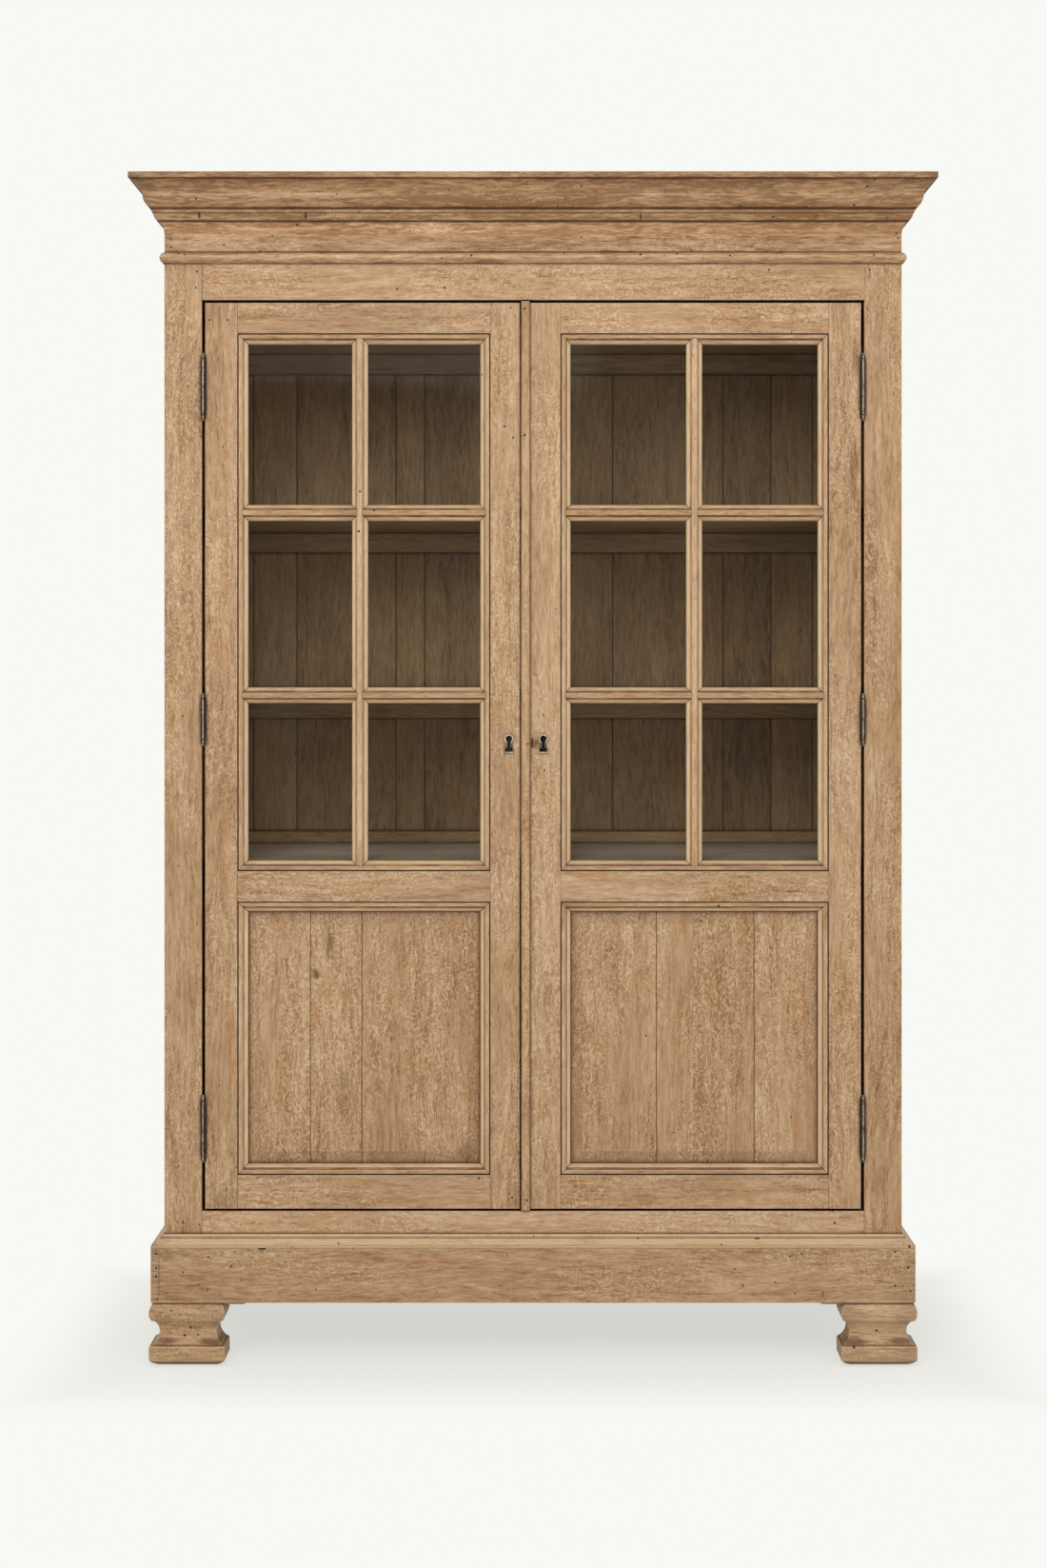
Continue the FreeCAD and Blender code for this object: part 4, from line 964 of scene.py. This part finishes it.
# %% Finish the wooden pieces
ROUND = math.radians(11)
LOOKS_UP = 0.9
level_darkening = 0.13
half_seam = 0.32 * MM
dusty_nodes = ("shelf_lower", "shelf_middle", "shelf_upper", "bottom_board")
panels = ("left_door_panel", "right_door_panel")
rng = random.Random(1840)
timber = {}


def dress(board, node):
    """Takes one board of a node over the bench."""
    outside = slot_of[node] == "oak"
    flatten(board)
    if outside:
        dry_out(board)
    elif node == "back_boards":
        swell(board, half_seam)
    ease(board, value_for(node, eased_by_kind, plain_easing) * MM)
    lift = value_for(node, lift_by_kind, 0.0)
    if finish_of(node) is moulded_oak:
        mark_profile(board)
        # Level mouldings are drawn darker than upright ones.
        if is_level(board):
            lift -= level_darkening
    if node in dusty_nodes:
        mark_faces(board, DUST, [float(face.normal.z > LOOKS_UP) for face in board.data.polygons])
    lay_grain(board, rng, lift, OUTSIDE_SPREAD if outside else INSIDE_SPREAD)


def assembled(boards, node, kind, smooth, *others):
    """Makes one piece of the boards of a node, smooths its rounds and lets it stand for the node."""
    piece = joined(boards, f"{node}_{kind}")
    only(piece)
    bpy.ops.object.shade_smooth_by_angle(angle=smooth)
    piece.data.materials.clear()
    piece.data.materials.append(finish_of(node))
    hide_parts(node, *others)
    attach(piece, body_of[node])
    return piece


wooden = [node for node in sorted(nodes) if slot_of[node] in ("oak", "oak_inside") and node not in panels]
board_count = 0
for node in wooden:
    boards = boards_of(node)
    for board in boards:
        dress(board, node)
    timber[node] = assembled(boards, node, "timber", ROUND)
    board_count += len(boards)
print("finished", len(wooden), "wooden pieces from", board_count, "boards")

# %% [markdown]
# ## Panels glued up from boards
#
# Each door panel is three or four boards wide, and most glue lines have opened a little. Dark lines
# in the material would look flat from the side, so the panel is cut where its boards meet, and the
# middle row of the cut is pushed back to a fine groove. Each board takes its own grain. The slopes
# round the raised field are painted a little browner, as painted shade.

# %% Finish the door panels
glue_lines = {"left_door_panel": (-415, -319), "right_door_panel": (230, 298, 412)}
tight_line = 298
line_slack = 0.05
groove_half_width = 0.7
groove_depth = 1.3
front_depth = 8
field_facing = (-0.995, -0.9)
field_shade = 0.5
for node in panels:
    panel = boards_of(node)[0]
    flatten(panel)
    joints = [x * MM for x in glue_lines[node]]
    opened = [x * MM for x in glue_lines[node] if x != tight_line]
    front = reach_of(panel, Y)[0]
    begin_edit(panel)
    for x in joints:
        for side in (-1, 0, 1):
            bpy.ops.mesh.select_all(action="SELECT")
            bpy.ops.mesh.bisect(plane_co=(x + side * groove_half_width * MM, 0, 0), plane_no=(1, 0, 0))
    bpy.ops.mesh.select_all(action="DESELECT")
    shape = bmesh.from_edit_mesh(panel.data)
    for vertex in shape.verts:
        on_line = min(abs(vertex.co.x - x) for x in opened) < line_slack * MM
        if on_line and vertex.co.y < front + front_depth * MM:
            vertex.select_set(True)
    bmesh.update_edit_mesh(panel.data)
    bpy.ops.transform.translate(value=(0, groove_depth * MM, 0))
    end_edit()
    sloped = [field_facing[0] < face.normal.y < field_facing[1] for face in panel.data.polygons]
    mark_faces(panel, WORN, np.zeros(len(sloped)))
    # The slopes round the field take a little painted shade.
    mark_faces(panel, PROFILE, np.array(sloped) * field_shade)
    lay_grain(panel, rng, lift_by_kind["panel"], OUTSIDE_SPREAD, along=Z, joints=joints)
    timber[node] = assembled([panel], node, "timber", ROUND)
    print(node, "is", len(joints) + 1, "boards wide")

# %% [markdown]
# ## Ironwork
#
# The bolts, the lock and the keyhole plates are filed from plain bar and sheet, so their nodes have
# the whole shape already. Modelling them again would add nothing: they only lack softened edges,
# which catch a line of light.

# %% Finish the plain ironwork
IRON_ROUND = math.radians(40)
iron_easing = 0.6
iron = [node for node in sorted(nodes) if slot_of[node] == "steel" and "hinge" not in node]
for node in iron:
    boards = boards_of(node)
    for board in boards:
        flatten(board)
        ease(board, iron_easing * MM)
    assembled(boards, node, "iron", IRON_ROUND)
print("finished", len(iron), "plain pieces of ironwork")

# %% [markdown]
# ## Turned hinges
#
# The doors hang on lift-off hinges. Each is two turned barrels on one pin, the upper one on the
# door and the lower one on the post, and each barrel ends in a ball and a point. A lathe cuts such
# a barrel from a rod. Here a circle is drawn up ring by ring to the same profile, which keeps the
# rings crisp. A barrel, a leaf and a screw are modelled once for each size and copied.

# %% Placing, copying and turning
turned_sides = 24


def placed(piece, place, turn=(0.0, 0.0, 0.0)):
    """Moves a piece to a place in millimetres and puts that into its mesh."""
    piece.location = [part * MM for part in place]
    piece.rotation_euler = turn
    settle(piece)
    return piece


def copy_of(piece):
    twin = piece.copy()
    twin.data = piece.data.copy()
    bpy.context.scene.collection.objects.link(twin)
    return twin


def turned(name, profile, sides=turned_sides):
    """A round piece drawn up from a circle; profile holds heights and radii in millimetres."""
    level, radius = profile[0]
    bpy.ops.object.select_all(action="DESELECT")
    bpy.ops.mesh.primitive_circle_add(
        vertices=sides, radius=radius * MM, fill_type="NGON", location=(0, 0, level * MM)
    )
    piece = bpy.context.active_object
    piece.name = name
    settle(piece)
    begin_edit(piece, "FACE", "SELECT")
    for height, wide in profile[1:]:
        rise = (height - level) * MM
        bpy.ops.mesh.extrude_region_move(TRANSFORM_OT_translate={"value": (0, 0, rise)})
        growth = wide / radius
        bpy.ops.transform.resize(value=(growth, growth, 1), center_override=(0, 0, height * MM))
        level, radius = height, wide
    bpy.ops.mesh.select_all(action="SELECT")
    bpy.ops.mesh.normals_make_consistent(inside=False)
    end_edit()
    return piece


print("ironwork is turned with", turned_sides, "sides")

# %% A barrel
barrel_radius = 4.5
groove_radius = 4.0
foot_profile = [(0.2, groove_radius), (0.7, barrel_radius)]
ring_profile = [(0.0, barrel_radius), (0.3, groove_radius), (0.9, groove_radius), (1.2, barrel_radius)]
ring_inset = 3.0
shoulder = 0.5
finial_height = 13.0
finial_profile = [
    (0.6, 3.9), (1.2, 2.6), (2.0, 2.6), (2.8, 3.5), (4.2, 4.2), (6.0, 4.2), (7.4, 3.5), (8.6, 2.2),
    (9.4, 1.8), (10.2, 2.2), (11.6, 1.9), (12.6, 1.1), (finial_height, 0.5),
]


def raised(profile, rise):
    """A profile moved up."""
    return [(height + rise, radius) for height, radius in profile]


def barrel(length):
    """A barrel with a ring near either end and a finial, its foot at the middle of the hinge."""
    upper_ring = length - ring_inset - ring_profile[-1][0]
    profile = foot_profile + raised(ring_profile, ring_inset) + raised(ring_profile, upper_ring)
    profile.append((length - shoulder, barrel_radius))
    return turned("barrel", profile + raised(finial_profile, length))


print("a barrel ends in a finial of", finial_height, "mm")

# %% A leaf
leaf_thickness = 2.0
leaf_width = 27.0
leaf_gap = 1.0
leaf_easing = 0.5


def leaf(length):
    """A plate with eased edges, its foot at the middle of the hinge."""
    bpy.ops.object.select_all(action="DESELECT")
    bpy.ops.mesh.primitive_cube_add(size=1.0, location=(0, 0, length / 2 * MM))
    plate = bpy.context.active_object
    plate.name = "leaf"
    plate.scale = (leaf_thickness * MM, leaf_width * MM, (length - 2 * leaf_gap) * MM)
    settle(plate)
    begin_edit(plate, "EDGE", "SELECT")
    bpy.ops.mesh.bevel(offset=leaf_easing * MM, segments=2, affect="EDGES")
    end_edit()
    return plate


print("a leaf is", leaf_width, "mm wide and", leaf_thickness, "mm thick")

# %% A screw
screw_profile = [(0.0, 3.0), (0.3, 3.0), (0.5, 2.7)]
screw_slot_half_width = 0.4
screw_slot_depth = 0.35


def screw_head():
    """A low round head with a slot, facing along X."""
    head = turned("screw", screw_profile)
    begin_edit(head, "FACE")
    for side in (-1, 1):
        bpy.ops.mesh.select_all(action="SELECT")
        bpy.ops.mesh.bisect(plane_co=(side * screw_slot_half_width * MM, 0, 0), plane_no=(1, 0, 0))
    bpy.ops.mesh.select_all(action="DESELECT")
    shape = bmesh.from_edit_mesh(head.data)
    for face in shape.faces:
        in_slot = abs(face.calc_center_median().x) < screw_slot_half_width * MM
        if in_slot and face.normal.z > LOOKS_UP:
            face.select_set(True)
    bmesh.update_edit_mesh(head.data)
    bpy.ops.mesh.extrude_region_move(TRANSFORM_OT_translate={"value": (0, 0, -screw_slot_depth * MM)})
    end_edit()
    return placed(head, (0, 0, 0), (0.0, math.pi / 2, 0.0))


screw = screw_head()
print("a screw has", len(screw.data.polygons), "faces")

# %% [markdown]
# ## Hanging the hinges
#
# The frame says where each half of a hinge is: the height of its box is the barrel and the finial
# together. Halves on the posts point down, so their copies are turned over.

# %% Set the hinges in place
TURNED_ROUND = math.radians(35)
leaf_from_axis = 3.0
screw_places = ((0.18, 6.0), (0.5, -5.0), (0.82, 6.0))
hinge_stock = {}


def halves_of(node):
    """The height range in millimetres and the side of each half hinge of a node."""
    halves = []
    for board in boards_of(node):
        low, high = reach_of(board, Z)
        side = 1 if board.data.vertices[0].co.x > 0 else -1
        halves.append((low / MM, high / MM, side))
        bpy.data.objects.remove(board)
    return halves


def half_hinge(low, high, side, on_door):
    """A barrel, its leaf and three screws; side is 1 on the right of the case."""
    length = round(high - low - finial_height, 2)
    if length not in hinge_stock:
        hinge_stock[length] = (barrel(length), leaf(length))
    stock_barrel, stock_leaf = hinge_stock[length]
    axis = axis_of["right_door" if side > 0 else "left_door"]
    x, y = axis[X] / MM, axis[Y] / MM
    base = low if on_door else high
    up = 1 if on_door else -1
    over = (0.0 if on_door else math.pi, 0.0, 0.0)
    towards_leaf = -side if on_door else side
    plate_x = x + towards_leaf * (leaf_from_axis - leaf_thickness / 2)
    plate_y = y + leaf_from_axis + leaf_width / 2
    made = [placed(copy_of(stock_barrel), (x, y, base), over)]
    made.append(placed(copy_of(stock_leaf), (plate_x, plate_y, base), over))
    screw_x = plate_x - towards_leaf * leaf_thickness / 2
    facing = (0.0, 0.0, 0.0 if towards_leaf < 0 else math.pi)
    for share, inset in screw_places:
        place = (screw_x, plate_y + inset, base + up * share * length)
        made.append(placed(copy_of(screw), place, facing))
    return made


pins_of = {"left_hinge_leaves": (), "right_hinge_leaves": (), "hinge_post_leaves": ("hinge_pins",)}
for node, pins in pins_of.items():
    made = []
    for low, high, side in halves_of(node):
        made += half_hinge(low, high, side, on_door=body_of[node] != "carcass")
    assembled(made, node, "iron", TURNED_ROUND, *pins)
    print(node, "made from", len(made), "pieces")
for stock in [screw] + [piece for pair in hinge_stock.values() for piece in pair]:
    bpy.data.objects.remove(stock)

# %% [markdown]
# ## Panes and putty
#
# The panes and their putty already have the right shape, so they only get their finishes.

# %% Panes and putty
glazing = [node for node in sorted(nodes) if slot_of[node] in ("glass", "putty")]
for node in glazing:
    nodes[node].data.materials.clear()
    nodes[node].data.materials.append(finish_of(node))
print("finished", len(glazing), "nodes of panes and putty")

# %% [markdown]
# ## Nail heads, worm holes and cracks
#
# Old nails, worm holes and short cracks are what the eye finds first on such a piece. Each is a
# low dark dome, modelled once and copied to its place; one more dome darkens the depth of the left
# keyhole as painted shade. The places were read off the picture as they show on the plane of the
# doors, in millimetres, so a line from the eye of the camera through that point finds the board that
# carries the mark, and the mark rides with that board.

# %% Model one mark
camera_distance = 3.9
eye_level = 1.287
face_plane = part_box("left_hinge_stile")[0][Y]
eye = Vector((0.0, face_plane - camera_distance, eye_level))
mark_sides = 10
dome_profile = [(-0.25, 0.5), (0.126, 0.425), (0.18, 0.2125)]
stock_mark = turned("mark", dome_profile, mark_sides)
dark_hole = lumpy_finish(
    "dark_hole", [(0.3, paint(22, 16, 11)), (0.7, paint(58, 41, 27))], 700.0, 2.0, 0.75
)
print("a mark has", len(stock_mark.data.polygons), "faces")

# %% Places of the marks
holes = (
    (-674, 2091), (-673, 2075), (-660, 2064), (-648, 2062), (-508, 2068), (-170, 2055), (-115, 2060),
    (-485, 2097), (-439, 2117), (-575, 2080), (-621, 2135), (-423, 2133), (-627, 2165), (-625, 2030),
    (-627, 2000), (-602, 1940), (-568, 1940), (-42, 1963), (-53, 1742), (-37, 1721), (-39, 308),
    (-16, 1961), (-23, 1724), (-16, 1726), (-11, 303), (-253, 1997), (-165, 2000), (21, 1103), (19, 1205),
    (-101, 344), (-322, 1621), (-348, 1588), (-296, 1586), (-324, 1547), (-701, 204), (-701, 177),
    (-701, 161), (-699, 119), (-604, 197), (-651, 169), (-605, 137), (-561, 181), (-621, 258), (-651, 262),
    (-673, 98), (-637, 66), (-648, 52), (-623, 53), (313, 822), (345, 851), (210, 609), (-397, 1018),
    (90, 2189), (46, 2152), (73, 2150), (242, 2148), (385, 2152), (508, 2151), (597, 2154), (622, 2189),
    (446, 2132), (526, 2133), (658, 2129), (676, 2101), (679, 2092), (90, 2094), (294, 2070), (268, 2063),
    (366, 2060), (634, 2060), (58, 2064), (200, 2062), (439, 2033), (626, 2033), (478, 198), (500, 204),
    (390, 144), (375, 175), (487, 129), (700, 217), (698, 178), (702, 134), (673, 207), (673, 144),
    (195, 232), (639, 61), (597, 30), (561, 261),
)
hole_size = (3.4, 5.6)
# The place of each crack, its width and its height. The mark at (-45, 1152) is no crack but a
# dark patch at the bottom of the left keyhole: painted shade.
cracks = (
    (-343, 2158, 30, 1.6), (-430, 2100, 26, 1.4), (-342, 2066, 9, 4.5), (-301, 1976, 50, 2.2),
    (-655, 145, 84, 0.9), (-504, 212.6, 18, 3.0), (-360, 2148, 60, 1.0), (-10, 1152, 7, 2.4),
    (-696, 163, 1.0, 96), (-45, 1152, 12, 30), (-1.5, 1154, 4.4, 24), (-664, 2179, 1.6, 10),
    (-405, 2179, 40, 1.6), (-370, 2108, 26, 1.5), (-621, 2136, 3.2, 15), (-423, 2135, 3.6, 15),
    (200, 2132, 3.0, 12), (575, 2094, 14, 1.6), (188, 2094, 22, 1.8), (458, 2064, 30, 2.4),
    (417, 232, 14, 4), (539, 129, 2.0, 14),
)
print("marks to set:", len(holes), "holes and", len(cracks), "cracks")


# %% Set the marks
def carrier(x, z):
    """The node that shows at a place on the door plane, with the point and its normal there."""
    towards = Vector((x * MM, face_plane, z * MM)) - eye
    best = None
    for node, piece in timber.items():
        hit, point, normal, face = piece.ray_cast(eye, towards)
        if hit and (best is None or (point - eye).length < (best[1] - eye).length):
            best = (node, point, normal)
    return best


marks_by_body = {}
sizes = random.Random(7)
spots = [(x, z, sizes.uniform(*hole_size), sizes.uniform(*hole_size)) for x, z in holes]
for x, z, wide, high in spots + list(cracks):
    node, point, normal = carrier(x, z)
    mark = copy_of(stock_mark)
    mark.scale = (wide, high, 1)
    placed(mark, point / MM, normal.to_track_quat("Z", "Y").to_euler())
    marks_by_body.setdefault(body_of[node], []).append(mark)
for body, marks in marks_by_body.items():
    piece = joined(marks, body + "_old_marks")
    piece.data.materials.append(dark_hole)
    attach(piece, body)
    print(body, "carries", len(marks), "marks")
bpy.data.objects.remove(stock_mark)

# %% [markdown]
# ## A pale studio
#
# The bookcase stands on a pale floor that fades into a white surround. The floor is partly its own
# light where the camera sees it, so that the shadow under the plinth stays soft.

# %% Floor and surround
floor_size = 9.0
floor_sides = 96
floor_glow = 0.66
floor_fade = 0.26
daylight = 0.56
surround = paint(248, 249, 244)


def floor_finish():
    pale = Finish("floor_paint")
    place = pale.place()
    beside = pale.part(place, X).math("ABSOLUTE") - cad_box[1][X]
    before = pale.part(place, Y).math("ABSOLUTE") - cad_box[1][Y]
    seen = pale.seen()
    matt = pale.node("ShaderNodeBsdfDiffuse", None, {"Color": paint(240, 240, 236)})
    glow = pale.node("ShaderNodeEmission", None, {"Color": surround, "Strength": 1.0})
    lit = pale.blend(seen * floor_glow, matt, glow)
    gone = pale.node("ShaderNodeBsdfTransparent")
    fade = beside.math("MAXIMUM", before).between(0.0, floor_fade) * seen
    return pale.surface(pale.blend(fade, lit, gone))


bpy.ops.object.select_all(action="DESELECT")
bpy.ops.mesh.primitive_circle_add(
    vertices=floor_sides, radius=floor_size, fill_type="NGON", location=(0, 0, 0)
)
floor = bpy.context.active_object
floor.name = "studio_floor"
floor.data.materials.append(floor_finish())

studio = Finish("studio", bpy.data.worlds)
soft_light = {"Color": (1.0, 0.99, 0.97, 1.0), "Strength": daylight}
soft = studio.node("ShaderNodeBackground", None, soft_light)
white = studio.node("ShaderNodeBackground", None, {"Color": surround})
mixed = studio.blend(studio.seen(), soft, white)
bpy.context.scene.world = studio.surface(mixed, "ShaderNodeOutputWorld")
print("the floor fades out", floor_fade, "m from the bookcase")

# %% [markdown]
# ## Two soft lamps
#
# The photograph has no hard shadows. Small lamps would draw sharp edges under the cornice, so both
# lamps are broad squares: a stronger one above on the left and a weaker one on the right, with just
# enough power to give the mouldings their shade.


# %% Lamps
def soft_box(name, place, aim, size, power):
    """A square soft light that points at a place."""
    bpy.ops.object.light_add(type="AREA", location=place)
    lamp = bpy.context.active_object
    lamp.name = name
    lamp.data.size = size
    lamp.data.energy = power
    towards = Vector(aim) - Vector(place)
    tilt = math.acos(-towards.z / towards.length)
    lamp.rotation_euler = (tilt, 0.0, math.atan2(towards.y, towards.x) - math.pi / 2)
    print(name, "has", power, "W")


soft_box("key_light", (-0.8, -3.6, 3.4), (0, -0.2, 1.2), 2.4, 70.0)
soft_box("fill_light", (2.4, -3.6, 2.2), (0, -0.2, 1.0), 2.4, 22.0)

# %% [markdown]
# ## The camera
#
# The photograph was taken square to the doors from a little above the middle, and the picture was
# shifted so that the uprights stay upright. The lens shift does the same here.

# %% Camera
focal_length = 48.15
lens_shift = (-0.0061, -0.072)
bpy.ops.object.camera_add(location=eye, rotation=(math.pi / 2, 0.0, 0.0))
camera = bpy.context.active_object
camera.name = "camera"
camera.data.lens = focal_length
camera.data.shift_x, camera.data.shift_y = lens_shift
bpy.context.scene.camera = camera
bpy.context.scene.view_settings.view_transform = "Standard"
print("camera", camera_distance, "m from the doors")
